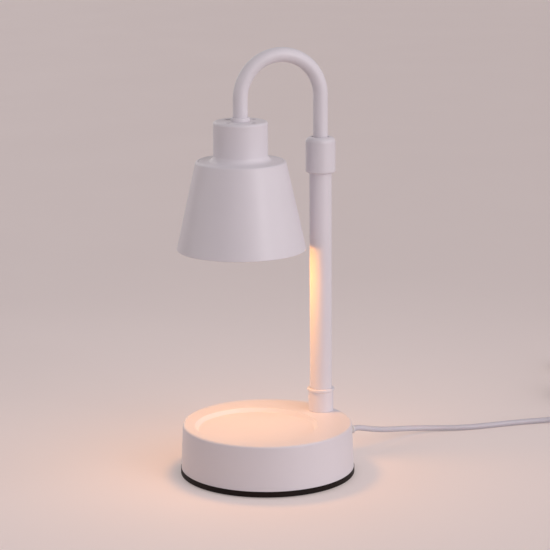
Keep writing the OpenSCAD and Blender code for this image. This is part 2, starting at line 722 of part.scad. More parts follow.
module crown_ring() color(white_paint) at_shade() difference() {
    rotate_extrude() polygon(concat(
        [[nipple_r + seat_gap, shade_top], [crown_d / 2, shade_top]],
        arc([crown_d / 2 - 0.8, shade_top + crown_h - 0.8], 0.8, 0, 90, 4),
        [[nipple_r + seat_gap, shade_top + crown_h]]));
    translate([0, 0, arm_end_z]) cylinder(r = arm_r + seat_gap, h = crown_h);
}

module shade_nipple() color(brass) at_shade() translate([0, 0, nipple_low])
    ring(nipple_r, nipple_bore_r, arm_end_z + insert_h - 1 - nipple_low);

module shade_washer() color(steel) at_shade() translate([0, 0, strap_top])
    ring(8, nipple_r + 0.1, shade_washer_t);

module shade_nut() color(steel) at_shade() translate([0, 0, strap_top - strap_t - shade_nut_h])
    difference() {
        cylinder(r = 6.9, h = shade_nut_h, $fn = 6);
        translate([0, 0, -eps]) cylinder(r = nipple_r + seat_gap, h = shade_nut_h + 1);
    }

module holder_bracket() color(steel) at_shade() difference() {
    union() {
        translate([-strap_l / 2, -strap_w / 2, strap_top - strap_t]) cube([strap_l, strap_w, strap_t]);
        for (side = [-1, 1]) {
            translate([side * (strap_l - strap_t) / 2 - strap_t / 2, -strap_w / 2, holder_top])
                cube([strap_t, strap_w, strap_top - holder_top]);
            translate([side * (strap_l / 2 - 5) - 5, -strap_w / 2, holder_top]) cube([10, strap_w, strap_t]);
        }
    }
    translate([0, 0, strap_top - 2 * strap_t]) cylinder(r = nipple_r + 0.1, h = 3 * strap_t);
    for (side = [-1, 1]) translate([side * holder_screw_x, 0, holder_top - 1])
        cylinder(r = m3[0] + 0.1, h = 2 * strap_t);
}

module lampholder() color(ceramic) at_shade() difference() {
    translate([0, 0, bulb_top]) rotate_extrude() polygon(
        [[0, 0], [holder_r - 1, 0], [holder_r, 1], [holder_r, holder_h - 2],
         [holder_r - 2, holder_h], [0, holder_h]]);
    for (side = [-1, 1]) {
        rotate([0, 0, 90]) translate([side * pin_pitch / 2, 0, bulb_top - eps])
            cylinder(r = pin_head_r + 0.3, h = pin_l + 2.4);
        translate([side * holder_screw_x, 0, holder_top - 6]) cylinder(r = m3[0] + seat_gap, h = 7);
    }
}

module holder_screws() color(steel) at_shade() for (side = [-1, 1])
    translate([side * holder_screw_x, 0, foot_top + m3[2]]) rotate([180, 0, 0]) screw_up(m3, 6);

module bulb_base() color(ceramic) at_shade() translate([0, 0, bulb_top - bulb_base_h]) difference() {
    rotate_extrude() polygon(
        [[0, 0], [bulb_base_r + 1, 0], [bulb_base_r + 1, 3], [bulb_base_r, 4],
         [bulb_base_r, bulb_base_h], [0, bulb_base_h]]);
    for (side = [-1, 1]) rotate([0, 0, 90]) translate([side * pin_pitch / 2, 0, bulb_base_h - 4])
        cylinder(r = pin_r + seat_gap, h = 5);
}

// a bowl whose side widens along a quarter ellipse
function bowl(t) = let(h = bulb_h - bulb_base_h - lens_t - 1, w = bulb_d / 2 - bulb_base_r - 1)
    [for (i = [0 : 12]) let(a = 90 * i / 12)
        [bulb_base_r + 1 - t + w * sin(a), bulb_top - bulb_base_h - h * (1 - cos(a)) - (i == 0 ? t : 0)]];

module bulb_reflector() color(glass) at_shade() difference() {
    rotate_extrude() polygon(concat(
        [[0, bulb_top - bulb_base_h]], bowl(0), [[bulb_d / 2, bulb_low]],
        [[bulb_d / 2 - glass_t, bulb_low]], reversed(bowl(glass_t)),
        [[0, bulb_top - bulb_base_h - glass_t]]));
}

module bulb_lens() color(glass) at_shade() translate([0, 0, bulb_low]) cylinder(r = lens_r, h = lens_t);

module bulb_capsule() color(glass) at_shade() {
    translate([0, 0, bulb_top - bulb_base_h - glass_t - 6]) cylinder(r = 4.4, h = 6);
    translate([0, 0, bulb_top - bulb_base_h - glass_t - 20]) cylinder(r = 3.6, h = 15);
    translate([0, 0, bulb_top - bulb_base_h - glass_t - 20]) sphere(r = 3.6);
}

module bulb_pins() color(steel) at_shade() rotate([0, 0, 90]) for (side = [-1, 1])
    translate([side * pin_pitch / 2, 0, bulb_top - 4]) {
        cylinder(r = pin_r, h = pin_l + 3);
        translate([0, 0, pin_l + 2]) cylinder(r = pin_head_r, h = pin_head_h);
    }

// the lead inside the arm: up the column leg, round the bend and down to the holder
module arm_lead() color(lead_white) on_arm() {
    rise = [for (i = [0 : 12]) [0, 0, arm_low - 1 + (bend_z - arm_low + 1) * i / 12]];
    bend = [for (i = [1 : 23]) let(a = 180 * i / 24)
        [0, -bend_r + bend_r * cos(a), bend_z + bend_r * sin(a)]];
    drop = [for (i = [0 : 3]) [0, -reach, bend_z + (nipple_low - 1.5 - bend_z) * i / 3]];
    swept(concat(rise, bend, drop), lead_r, lead_sides, [1, 0, 0]);
}

module holder_wires() color(nylon) at_shade() for (side = [-1, 1])
    swept([[side * 0.75, 0, nipple_low - 1.5], [side * 0.75, 0, nipple_low - 2.5],
        [side * 1.6, 0, nipple_low - 3.8], [side * 3, 0, nipple_low - 5],
        [side * 3.6, 0, holder_top + 0.6], [side * 3.6, 0, holder_top]], 0.7, 8, [0, 1, 0]);

// ---------------------------------------------------------------- mains lead

module cord_to_dimmer() color(lead_white) swept(to_dimmer_route, cord_r, cord_sides);
module cord_to_coil() color(lead_white) swept(to_coil_route, cord_r, cord_sides);
module cord_coil() color(lead_white) swept(coil_line, cord_r, coil_sides);
module cord_tail() color(lead_white) swept(tail_route, cord_r, cord_sides);

module coil_tie() color(black_abs) translate([coil_x, coil_y, 0]) rotate([0, 0, tie_turn]) difference() {
    low_x = coil_in_r - cord_r - 0.5 - tie_gap;
    high_x = coil_out_r + cord_r + tie_gap;
    high_z = coil_z + coil_pitch * (coil_layers - 1) + cord_r + tie_gap;
    translate([low_x - tie_t, -tie_w / 2, 0]) cube([high_x - low_x + 2 * tie_t, tie_w, high_z + tie_t]);
    translate([low_x, -tie_w, tie_t]) cube([high_x - low_x, 2 * tie_w, high_z - tie_t]);
}

// ---------------------------------------------------------------- in-line dimmer

module at_dimmer() translate([dimmer_pos[0], dimmer_pos[1], 0]) rotate([0, 0, dimmer_turn]) children();

module dimmer_outline(inset) {
    l = dimmer_l - 2 * inset;
    w = dimmer_w - 2 * inset;
    r = dimmer_corner_r - inset;
    square([l - 2 * r, w], center = true);
    square([l, w - 2 * r], center = true);
    for (x = [-1, 1], y = [-1, 1]) translate([x * (l / 2 - r), y * (w / 2 - r)]) circle(r = r);
}

module dimmer_case() difference() {
    union() {
        translate([0, 0, 1]) linear_extrude(dimmer_h - 2) dimmer_outline(0);
        linear_extrude(dimmer_h) dimmer_outline(1);
    }
    translate([0, 0, dimmer_wall]) linear_extrude(dimmer_h - 2 * dimmer_wall) dimmer_outline(dimmer_wall);
    translate([0, wheel_y, dimmer_axis_z - wheel_t / 2 - 0.4])
        cylinder(r = wheel_d / 2 + 0.5, h = wheel_t + 0.8);
    translate([-dimmer_l, 0, dimmer_axis_z]) rotate([0, 90, 0]) cylinder(r = cord_r + 0.9, h = 2 * dimmer_l);
}

module at_dimmer_screws() for (x = [-1, 1]) translate([x * dimmer_screw_x, dimmer_screw_y, 0]) children();

module dimmer_lower_shell() color(lead_white) at_dimmer() difference() {
    union() {
        intersection() {
            dimmer_case();
            translate([-dimmer_l, -dimmer_w, 0]) cube([2 * dimmer_l, 2 * dimmer_w, dimmer_axis_z]);
        }
        translate([0, wheel_y, 1]) cylinder(r = 3, h = dimmer_axis_z - 1 - wheel_t / 2 - 0.4);
        at_dimmer_screws() translate([0, 0, 1]) cylinder(r = 2.8, h = dimmer_axis_z - 1);
        for (x = [board_x, board_x + 24]) translate([x, board_y + 1, 1]) cube([6, 4, board_z - 1]);
    }
    translate([0, wheel_y, 1]) cylinder(r = axle_r + seat_gap, h = dimmer_h);
    at_dimmer_screws() translate([0, 0, -eps]) {
        cylinder(r = m3[0] + 0.2, h = dimmer_h);
        cylinder(r = m3[1] + 0.2, h = m3[2] + 0.2);
    }
}

module dimmer_upper_shell() color(lead_white) at_dimmer() difference() {
    union() {
        intersection() {
            dimmer_case();
            translate([-dimmer_l, -dimmer_w, dimmer_axis_z]) cube([2 * dimmer_l, 2 * dimmer_w, dimmer_h]);
        }
        translate([0, wheel_y, dimmer_axis_z + wheel_t / 2 + 0.4])
            cylinder(r = 3, h = dimmer_h - 1 - dimmer_axis_z - wheel_t / 2 - 0.4);
        at_dimmer_screws() translate([0, 0, dimmer_axis_z]) cylinder(r = 2.8, h = dimmer_h - 1 - dimmer_axis_z);
    }
    translate([0, wheel_y, -1]) cylinder(r = axle_r + seat_gap, h = dimmer_h);
    at_dimmer_screws() translate([0, 0, -1]) cylinder(r = m3[0] + seat_gap, h = dimmer_h - 1);
}

module dimmer_board() color(board_green) at_dimmer() translate([board_x, board_y, board_z]) {
    cube([30, board_w, 1.6]);
    translate([2, 1, 1.5]) cube([8, 5, 7]);
    translate([22, 3.2, 1.5]) cylinder(r = 2.6, h = 7);
}

module dimmer_axle() color(steel) at_dimmer()
    translate([0, wheel_y, 1.2]) cylinder(r = axle_r, h = dimmer_h - 2.4);

module dimmer_screws() color(steel) at_dimmer() at_dimmer_screws()
    translate([0, 0, 0.1]) screw_up(m3, dimmer_h - 6);

module dimmer_boots() color(lead_white) at_dimmer() for (side = [0, 1]) rotate([0, 0, 180 * side])
    translate([dimmer_l / 2 - 4, 0, dimmer_axis_z]) rotate([0, 90, 0]) {
        cylinder(r = cord_r + 0.85, h = 4);
        translate([0, 0, 4]) cylinder(r1 = cord_r + 2.4, r2 = cord_r + 0.8, h = dimmer_boot_l);
    }

module dimmer_wheel() color(black_abs) at_dimmer()
    translate([0, wheel_y, dimmer_axis_z - wheel_t / 2]) difference() {
        cylinder(r = wheel_d / 2, h = wheel_t);
        translate([0, 0, -eps]) cylinder(r = axle_r + turning_gap, h = wheel_t + 1);
        around(20, wheel_d / 2 + 0.3) translate([0, 0, -eps]) cylinder(r = 0.7, h = wheel_t + 1, $fn = 16);
    }

// ---------------------------------------------------------------- plug

module at_plug() translate([plug_x, plug_y, plug_h_out / 2]) rotate([0, 0, plug_turn]) children();

module plug_body() color(lead_white) at_plug() {
    rotate([0, 90, 0]) cylinder(r1 = cord_r + 0.8, r2 = cord_r + 3, h = plug_boot_l);
    translate([plug_boot_l, 0, 0]) hull() {
        translate([0, -plug_w / 2 + 5, -plug_h_out / 2 + 3]) cube([1, plug_w - 10, plug_h_out - 6]);
        translate([6, -plug_w / 2, -plug_h_out / 2 + 1.5]) cube([plug_l - 6, plug_w, plug_h_out - 3]);
        translate([6, -plug_w / 2 + 1.5, -plug_h_out / 2]) cube([plug_l - 6, plug_w - 3, plug_h_out]);
    }
}

module plug_blades() color(brass) at_plug() for (side = [-1, 1])
    translate([plug_boot_l + plug_l, side * blade_pitch / 2 - blade_t / 2, -blade_w / 2]) difference() {
        cube([blade_l, blade_t, blade_w]);
        translate([blade_l - 4, -1, blade_w / 2]) rotate([-90, 0, 0]) cylinder(r = 1.6, h = blade_t + 2);
    }

base_shell();
bottom_plate();
anti_slip_pad();
counterweight();
base_screws();
weight_screws();
foot_ferrule();
column_tube();
column_plug();
column_stud();
column_washer();
column_nut();
column_head();
clamp_collet();
cord_gland();
supply_lead();
lead_clamp();
clamp_screws();
terminal_block();
terminal_screws();
column_lead();
slack_lead();
lock_collar();
guide_bush();
arm_tube();
upper_keeper();
lower_keeper();
arm_insert();
shade_cap();
shade();
crown_ring();
shade_nipple();
shade_washer();
shade_nut();
holder_bracket();
lampholder();
holder_screws();
bulb_base();
bulb_reflector();
bulb_lens();
bulb_capsule();
bulb_pins();
arm_lead();
holder_wires();
cord_to_dimmer();
dimmer_lower_shell();
dimmer_upper_shell();
dimmer_board();
dimmer_axle();
dimmer_screws();
dimmer_boots();
dimmer_wheel();
cord_to_coil();
cord_coil();
coil_tie();
cord_tail();
plug_body();
plug_blades();
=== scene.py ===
"""Looks for a candle warmer lamp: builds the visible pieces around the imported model."""
import json
import math

import bmesh
import bpy
from bpy.props import FloatProperty, FloatVectorProperty, IntProperty, PointerProperty
from mathutils import Matrix, Vector

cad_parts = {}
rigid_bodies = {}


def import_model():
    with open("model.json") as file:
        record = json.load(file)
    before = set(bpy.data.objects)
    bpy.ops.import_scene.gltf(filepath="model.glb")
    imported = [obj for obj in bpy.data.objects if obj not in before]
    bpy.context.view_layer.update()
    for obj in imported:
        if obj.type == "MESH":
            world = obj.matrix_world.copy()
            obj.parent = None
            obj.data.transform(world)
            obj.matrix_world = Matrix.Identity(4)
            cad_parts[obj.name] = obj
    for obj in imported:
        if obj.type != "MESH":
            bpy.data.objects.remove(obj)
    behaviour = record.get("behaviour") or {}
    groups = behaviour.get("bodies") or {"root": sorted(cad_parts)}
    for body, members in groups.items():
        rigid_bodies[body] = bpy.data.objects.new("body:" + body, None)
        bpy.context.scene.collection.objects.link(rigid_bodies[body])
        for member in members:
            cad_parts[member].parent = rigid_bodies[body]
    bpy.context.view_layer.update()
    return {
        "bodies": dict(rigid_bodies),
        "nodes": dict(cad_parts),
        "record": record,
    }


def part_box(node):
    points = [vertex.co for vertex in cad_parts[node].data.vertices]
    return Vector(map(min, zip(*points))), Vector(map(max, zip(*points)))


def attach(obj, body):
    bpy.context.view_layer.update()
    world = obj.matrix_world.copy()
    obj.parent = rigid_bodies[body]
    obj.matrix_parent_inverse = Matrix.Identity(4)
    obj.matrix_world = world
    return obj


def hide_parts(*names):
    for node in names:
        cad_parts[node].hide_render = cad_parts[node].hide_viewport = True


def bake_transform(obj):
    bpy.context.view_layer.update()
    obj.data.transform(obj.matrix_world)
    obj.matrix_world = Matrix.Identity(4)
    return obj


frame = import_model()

bl_info = {
    "name": "Candle Warmer Lamp",
    "version": (1, 0, 0),
    "blender": (4, 5, 0),
    "location": "View3D > Sidebar > Lamp",
    "description": "Builds the pieces, finishes and stage of a candle warmer lamp",
    "category": "Object",
}

MM = 0.001
EASE = 0.3 * MM  # rounding of a cut or moulded edge
SAME = 1e-6  # metres within which two places count as one
CRISP = 38  # degrees between two faces above which their edge stays sharp
SLOT_OF = {row["node"]: row["material_slot"] for row in frame["record"]["subparts"]}


def low(node):
    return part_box(node)[0]


def high(node):
    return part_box(node)[1]


def span(node):
    """Lowest and highest z of a node."""
    return low(node).z, high(node).z


def up_by(z):
    return Vector((0, 0, z))


def middle(node):
    lo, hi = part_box(node)
    return (lo + hi) / 2


BASE_TOP = high("base_shell").z
RING_TOP = low("base_shell").z
COLUMN_AXIS = Vector((0, middle("lock_collar").y, 0))
SHADE_AXIS = Vector((middle("shade").x, middle("shade").y, 0))
ARM_WAY = (SHADE_AXIS - COLUMN_AXIS).normalized()
ARM_TURN = math.atan2(ARM_WAY.x, -ARM_WAY.y)
REACH = (SHADE_AXIS - COLUMN_AXIS).length
SHADE_TOP = high("shade_cap").z
SHADE_MOUTH = low("shade").z
OUTLET = Vector((0, high("cord_gland").y, middle("cord_gland").z))
DIMMER = Vector((0.075, 0.318, 0))
DIMMER_TURN = math.radians(69)
PLUG = Vector((-0.0153, 0.37745, 0.008))
PLUG_TURN = math.radians(165)
COIL = Vector((0.028, 0.337, 0))
COIL_TURNS = 8 + 11 / 12
COIL_START, COIL_END = 110, 80  # degrees at which the lead joins and leaves the coil
CASE_LENGTH, CASE_WIDTH, CASE_HEIGHT = 52, 26, 16  # the dimmer's, in millimetres
BOOT_LENGTH = 8  # of the dimmer's cord boots, in millimetres
LEAD_HEIGHT = 8 * MM  # of the lead's axis through the dimmer
WALL = 1.2 * MM  # of the shade's spun metal


# ---------------- properties


def length(name, text, value):
    return FloatProperty(name=name, description=text, default=value, min=0.0, max=1.0,
                         precision=5, unit="LENGTH")


def level(name, text, value, unit="NONE"):
    return FloatProperty(name=name, description=text, default=value, min=0, unit=unit)


def tint(name, text, value):
    return FloatVectorProperty(name=name, description=text, default=value, size=3,
                               min=0.0, max=1.0, subtype="COLOR")


class LampSizes(bpy.types.PropertyGroup):
    """Roundings and small details of the pieces"""
    shell_edge: length("Shell edge", "Rounding of the base's top edge", 1.8 * MM)
    dish_rim: length("Dish rim", "Rounding where the top runs into the dish", 0.7 * MM)
    dish_corner: length("Dish corner", "Rounding between the dish's wall and floor", 1.2 * MM)
    ring_edge: length("Foot ring edge", "Rounding of the foot ring", 0.3 * MM)
    collar_top: length("Collar top", "Rounding of the collar's upper edge", 4.0 * MM)
    collar_foot: length("Collar foot", "Rounding of the collar's lower edge", 1.6 * MM)
    vent: length("Vent", "Radius of a vent hole in the cap", 2.2 * MM)
    lead: length("Lead", "Diameter of the mains lead", 4.5 * MM)
    steps: IntProperty(name="Steps", description="Faces round a turned piece",
                       default=144, min=24, max=256)
    boot_ribs: IntProperty(name="Boot ribs", description="Ribs on the strain relief",
                           default=6, min=2, max=12)
    wheel_ribs: IntProperty(name="Wheel ribs", description="Ribs round the thumb wheel",
                            default=36, min=12, max=60)


class LampColours(bpy.types.PropertyGroup):
    """Colours of the finishes"""
    paint: tint("Paint", "White powder coat", (0.80, 0.762, 0.80))
    foot: tint("Foot ring", "Black moulded plastic", (0.011, 0.006, 0.005))
    # painted shade: the white sheath's colour is made greyer and mauve, as the lead looks in shadow
    lead: tint("Lead", "Greyish white sheath of the lead", (0.66, 0.63, 0.68))
    rubber: tint("Soft white", "Strain relief and plug", (0.78, 0.76, 0.75))
    pad: tint("Pad", "Anti-slip pad", (0.03, 0.03, 0.032))
    glow: tint("Glow", "Light of the halogen bulb", (1.0, 0.45, 0.11))
    floor: tint("Floor", "Floor under the lamp", (0.66, 0.58, 0.56))
    haze: tint("Haze", "Paleness that the camera sees on the floor", (1.0, 0.86, 0.83))


class LampLight(bpy.types.PropertyGroup):
    """Strength of the stage's lamps"""
    key: level("Key", "Strength of the key light", 1.2)
    fill: level("Fill", "Strength of the fill light", 0.55)
    back: level("Back", "Strength of the light from behind", 0.4)
    softbox: level("Softbox", "Power of the softbox", 8.0, "POWER")
    sky: level("Sky", "Strength of the sky", 0.24)
    bulb: level("Bulb", "Power of the lit bulb", 0.17, "POWER")


def sizes():
    return bpy.context.scene.lamp_sizes


def colours():
    return bpy.context.scene.lamp_colours


# ---------------- finishes


def nodes_of(material):
    material.use_nodes = True
    tree = material.node_tree
    tree.nodes.clear()
    return tree


def add(tree, kind, **values):
    """A new node. A value named after a socket sets it, or links to it where the value is a
    socket itself; any other sets the node's own setting."""
    node = tree.nodes.new(kind)
    for name, value in values.items():
        if name in node.bl_rna.properties:
            setattr(node, name, value)
        elif isinstance(value, bpy.types.NodeSocket):
            tree.links.new(value, node.inputs[name.replace("_", " ")])
        else:
            node.inputs[name.replace("_", " ")].default_value = value
    return node


def maths(tree, operation, *sources):
    node = add(tree, "ShaderNodeMath", operation=operation)
    for socket, source in zip(node.inputs, sources):
        tree.links.new(source, socket)
    return node.outputs["Value"]


def place_on(tree):
    """Place on the piece, in its own metres."""
    return add(tree, "ShaderNodeTexCoord").outputs["Object"]


def grain(tree, scale, detail=3.0, stretch=None):
    """Noise over the piece; stretch draws it out along an axis."""
    place = place_on(tree)
    if stretch:
        place = add(tree, "ShaderNodeMapping", Vector=place, Scale=stretch).outputs["Vector"]
    noise = add(tree, "ShaderNodeTexNoise", Vector=place, Scale=scale, Detail=detail)
    return noise.outputs["Fac"]


def spread(tree, source, lo, hi):
    """Draws noise out to run from lo to hi."""
    return add(tree, "ShaderNodeMapRange", Value=source, From_Min=0.3, From_Max=0.7,
               To_Min=lo, To_Max=hi).outputs["Result"]


def make_finish(name, colour, tone=0.03, rough=(0.4, 0.5), tone_scale=35, rough_scale=120,
                bump_scale=1500, bump=0.02, bump_depth=0.0002, stretch=None, relief=None,
                **sockets):
    """A finish whose tone, gloss and surface vary as the real material's do."""
    material = bpy.data.materials.new(name)
    tree = nodes_of(material)
    blend = add(tree, "ShaderNodeMix", data_type="RGBA",
                Factor=spread(tree, grain(tree, tone_scale, stretch=stretch), 0, 1))
    ends = [socket for socket in blend.inputs if socket.type == "RGBA"]
    for socket, change in zip(ends, (-tone, tone)):
        socket.default_value = [min(1.0, max(0.0, c * (1 + change))) for c in colour] + [1]
    height = relief(tree) if relief else grain(tree, bump_scale, 2.0, stretch)
    lumps = add(tree, "ShaderNodeBump", Strength=bump, Distance=bump_depth, Height=height)
    shader = add(tree, "ShaderNodeBsdfPrincipled",
                 Base_Color=next(out for out in blend.outputs if out.type == "RGBA"),
                 Roughness=spread(tree, grain(tree, rough_scale, 5.0, stretch), *rough),
                 Normal=lumps.outputs["Normal"], **sockets)
    add(tree, "ShaderNodeOutputMaterial", Surface=shader.outputs["BSDF"])
    return material


def weave(tree):
    """Hooked pile of a touch-fastening strap: two crossed waves."""
    place = place_on(tree)
    return maths(tree, "MULTIPLY", *(
        add(tree, "ShaderNodeTexWave", Vector=place, bands_direction=way, Scale=260.0,
            Distortion=1.5).outputs["Fac"] for way in ("X", "Z")))


def pebbles(tree):
    """Cells of a moulded or stippled surface."""
    return add(tree, "ShaderNodeTexVoronoi", Vector=place_on(tree), Scale=900.0).outputs["Distance"]


FINISHES = {}


def settings(*values, **named):
    return values, named


def recipes():
    """Settings of make_finish for each material slot, and for pieces with a finish of their own."""
    c = colours()
    return {
        "white_paint": settings(
            "white_powder_coat", c.paint, 0.012, (0.36, 0.44), 25, 180, 1100, 0.10, 0.00012,
            Coat_Weight=0.15, Coat_Roughness=0.25),
        "black_plastic": settings(
            "black_moulded_plastic", c.foot, 0.2, (0.5, 0.65), 60, 300, relief=pebbles,
            bump=0.1, bump_depth=0.00006, Specular_IOR_Level=0.15),
        "pad_rubber": settings(
            "foam_rubber", c.pad, 0.25, (0.75, 0.95), 90, 600, relief=pebbles, bump=0.5,
            bump_depth=0.0002),
        "weight_iron": settings(
            "cast_weight", (0.16, 0.16, 0.165), 0.3, (0.5, 0.8), 70, 400, 900, 0.5, Metallic=0.8),
        "screw_steel": settings(
            "plated_steel", (0.60, 0.60, 0.61), 0.08, (0.22, 0.38), 90, 500, 2000, 0.1,
            Metallic=1.0),
        "bracket_steel": settings(
            "rolled_steel", (0.62, 0.62, 0.63), 0.08, (0.25, 0.4), 60, 200, 900, 0.15,
            stretch=(1, 12, 1), Metallic=1.0),
        "brass_parts": settings(
            "turned_brass", (0.72, 0.50, 0.22), 0.1, (0.2, 0.36), 80, 400, 600, 0.12,
            stretch=(1, 1, 14), Metallic=1.0),
        "nylon": settings(
            "natural_nylon", (0.78, 0.76, 0.69), 0.04, (0.45, 0.6), 40, 250,
            Subsurface_Weight=0.1, Subsurface_Scale=0.002),
        "gland_rubber": settings(
            "soft_white_moulding", c.rubber, 0.03, (0.5, 0.66), 60, 260, relief=pebbles,
            bump=0.08, bump_depth=0.0001, Subsurface_Weight=0.06, Subsurface_Scale=0.001),
        # painted shade: this sheath takes the greyed Lead colour, darker than the real white sheath
        "lead_sheath": settings(
            "white_sheath", c.lead, 0.025, (0.34, 0.46), 70, 300, 500, 0.08, 0.0001,
            Subsurface_Weight=0.05, Subsurface_Scale=0.001),
        "ceramic": settings(
            "fired_ceramic", (0.80, 0.77, 0.70), 0.04, (0.5, 0.7), 60, 300, 700, 0.2),
        "bulb_glass": settings(
            "clear_glass", (0.97, 0.97, 0.97), 0.01, (0.02, 0.06), 60, 300, 300, 0.05,
            Transmission_Weight=1.0, IOR=1.47),
        "wire_sleeve": settings(
            "glass_fibre_sleeve", (0.74, 0.70, 0.60), 0.12, (0.7, 0.9), 400, 500, relief=weave,
            bump=0.4),
        "switch_plastic": settings(
            "gloss_white_plastic", (0.82, 0.80, 0.79), 0.015, (0.28, 0.38), 40, 220, relief=pebbles,
            bump=0.05, bump_depth=0.0001),
        "circuit_board": settings(
            "green_board", (0.03, 0.16, 0.06), 0.3, (0.3, 0.5), 300, 400),
        "reflector": settings(
            "silvered_glass", (0.80, 0.80, 0.83), 0.05, (0.08, 0.18), 80, 400, 300, 0.05,
            Metallic=1.0),
        "filament": settings(
            "hot_filament", c.glow, 0.05, (0.4, 0.5), Emission_Color=(*c.glow, 1),
            Emission_Strength=6.0),
        "strap": settings(
            "black_touch_fastener", (0.02, 0.02, 0.022), 0.3, (0.8, 0.95), 200, 500, relief=weave,
            bump=0.6, bump_depth=0.0003, Sheen_Weight=0.4),
    }


def finish(name):
    """One of the recipes' finishes, made on first use."""
    if name not in FINISHES:
        values, named = recipes()[name]
        FINISHES[name] = make_finish(*values, **named)
    return FINISHES[name]


# ---------------- shaping


def ring_edges(bm, r, z):
    """Edges that lie on the circle of radius r at height z."""
    def on(v):
        return abs(v.co.z - z) < 2 * SAME and abs(math.hypot(v.co.x, v.co.y) - r) < 2 * SAME
    return [e for e in bm.edges if on(e.verts[0]) and on(e.verts[1])]


def round_edges(bm, edges, offset, segments=5):
    if not edges:
        raise RuntimeError("no edges to round")
    bmesh.ops.bevel(bm, geom=edges, offset=offset, offset_type="OFFSET", segments=segments,
                    profile=0.5, affect="EDGES", material=-1)


def turned(section, steps=None, segments=5):
    """Spins a section about Z. Each corner is (radius, height) or (radius, height, rounding)."""
    bm = bmesh.new()
    verts = [bm.verts.new((c[0], 0, c[1])) for c in section]
    edges = [bm.edges.new(pair) for pair in zip(verts, verts[1:])]
    if section[0][0] > 0:
        edges.append(bm.edges.new((verts[-1], verts[0])))
    bmesh.ops.spin(bm, geom=verts + edges, cent=(0, 0, 0), axis=(0, 0, 1), angle=math.tau,
                   steps=steps or sizes().steps, use_merge=True, use_duplicate=False)
    bmesh.ops.remove_doubles(bm, verts=bm.verts, dist=SAME)
    count = len(section)
    for i, corner in enumerate(section):
        if len(corner) < 3:
            continue
        here = Vector(corner[:2])
        before = (here - Vector(section[i - 1][:2])).normalized()
        after = (Vector(section[(i + 1) % count][:2]) - here).normalized()
        turn = math.acos(max(-1, min(1, before.dot(after))))
        round_edges(bm, ring_edges(bm, *corner[:2]), corner[2] * math.tan(turn / 2), segments)
    bmesh.ops.recalc_face_normals(bm, faces=bm.faces)
    return bm


def block(size, centre=(0, 0, 0)):
    bm = bmesh.new()
    bmesh.ops.create_cube(bm, size=1)
    bmesh.ops.scale(bm, vec=size, verts=bm.verts)
    bmesh.ops.translate(bm, vec=centre, verts=bm.verts)
    return bm


def upright_edges(bm):
    return [e for e in bm.edges
            if abs((e.verts[1].co - e.verts[0].co).normalized().z) > 0.999]


def flat_rim(bm, height):
    """Edges that bound the flat face at a height."""
    def at(v):
        return abs(v.co.z - height) < SAME
    return [e for e in bm.edges
            if at(e.verts[0]) and at(e.verts[1])
            and sum(all(at(v) for v in f.verts) for f in e.link_faces) == 1]


def rod(radius, depth, segments):
    """A solid rod about Z with its middle at the origin."""
    bm = bmesh.new()
    bmesh.ops.create_cone(bm, cap_ends=True, segments=segments, radius1=radius, radius2=radius,
                          depth=depth)
    return bm


def join(target, bm):
    """Adds one bmesh to another and frees it."""
    mesh = bpy.data.meshes.new("joined")
    bm.to_mesh(mesh)
    bm.free()
    target.from_mesh(mesh)
    bpy.data.meshes.remove(mesh)


def placed(bm, turn=None, move=(0, 0, 0)):
    if turn:
        angle, axis = turn
        bmesh.ops.rotate(bm, cent=(0, 0, 0), matrix=Matrix.Rotation(angle, 3, axis), verts=bm.verts)
    bmesh.ops.translate(bm, vec=move, verts=bm.verts)
    return bm


def linked(name, data):
    obj = bpy.data.objects.new(name, data)
    bpy.context.scene.collection.objects.link(obj)
    return obj


def smooth(mesh, sharp=CRISP):
    mesh.shade_smooth()
    mesh.set_sharp_from_angle(angle=math.radians(sharp))


def new_object(name, bm, sharp=CRISP):
    mesh = bpy.data.meshes.new(name)
    bm.to_mesh(mesh)
    bm.free()
    smooth(mesh, sharp)
    return linked(name, mesh)


def final_mesh(obj):
    """The mesh of an object with its modifiers or its curve worked out."""
    bpy.context.view_layer.update()
    graph = bpy.context.evaluated_depsgraph_get()
    return bpy.data.meshes.new_from_object(obj.evaluated_get(graph))


def carve(obj, cutter):
    """Cuts a bmesh out of an object for good."""
    tool = new_object("cutter", cutter)
    cut = obj.modifiers.new("cut", "BOOLEAN")
    cut.object, cut.operation, cut.solver = tool, "DIFFERENCE", "EXACT"
    shaped = final_mesh(obj)
    obj.modifiers.clear()
    old, obj.data = obj.data, shaped
    shaped.name = obj.name
    bpy.data.meshes.remove(old)
    bpy.data.objects.remove(tool)


def piece(obj, body, slot, *nodes, coat=None, evened=True):
    """Gives a new object the finish of its slot or its own coat, puts it on its body and hides the
    nodes that it stands for.
    """
    obj.data.materials.clear()
    obj.data.materials.append(coat or finish(slot))
    if evened and obj.type == "MESH":
        normals = obj.modifiers.new("even_normals", "WEIGHTED_NORMAL")
        normals.keep_sharp = True
    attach(obj, body)
    if nodes:
        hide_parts(*nodes)
    return obj


def hang(name, bm, slot, node, **ways):
    """Makes a piece on the shade's axis, which moves with the arm."""
    return piece(new_object(name, placed(bm, move=SHADE_AXIS)), "arm", slot, node, **ways)


# ---------------- routes of the leads


def dimmer_end(side, out):
    """A point on the dimmer's lead axis, out past its boot by so many millimetres."""
    s = side * (CASE_LENGTH / 2 + BOOT_LENGTH + out) * MM
    return DIMMER + Vector((s * math.cos(DIMMER_TURN), s * math.sin(DIMMER_TURN), LEAD_HEIGHT))


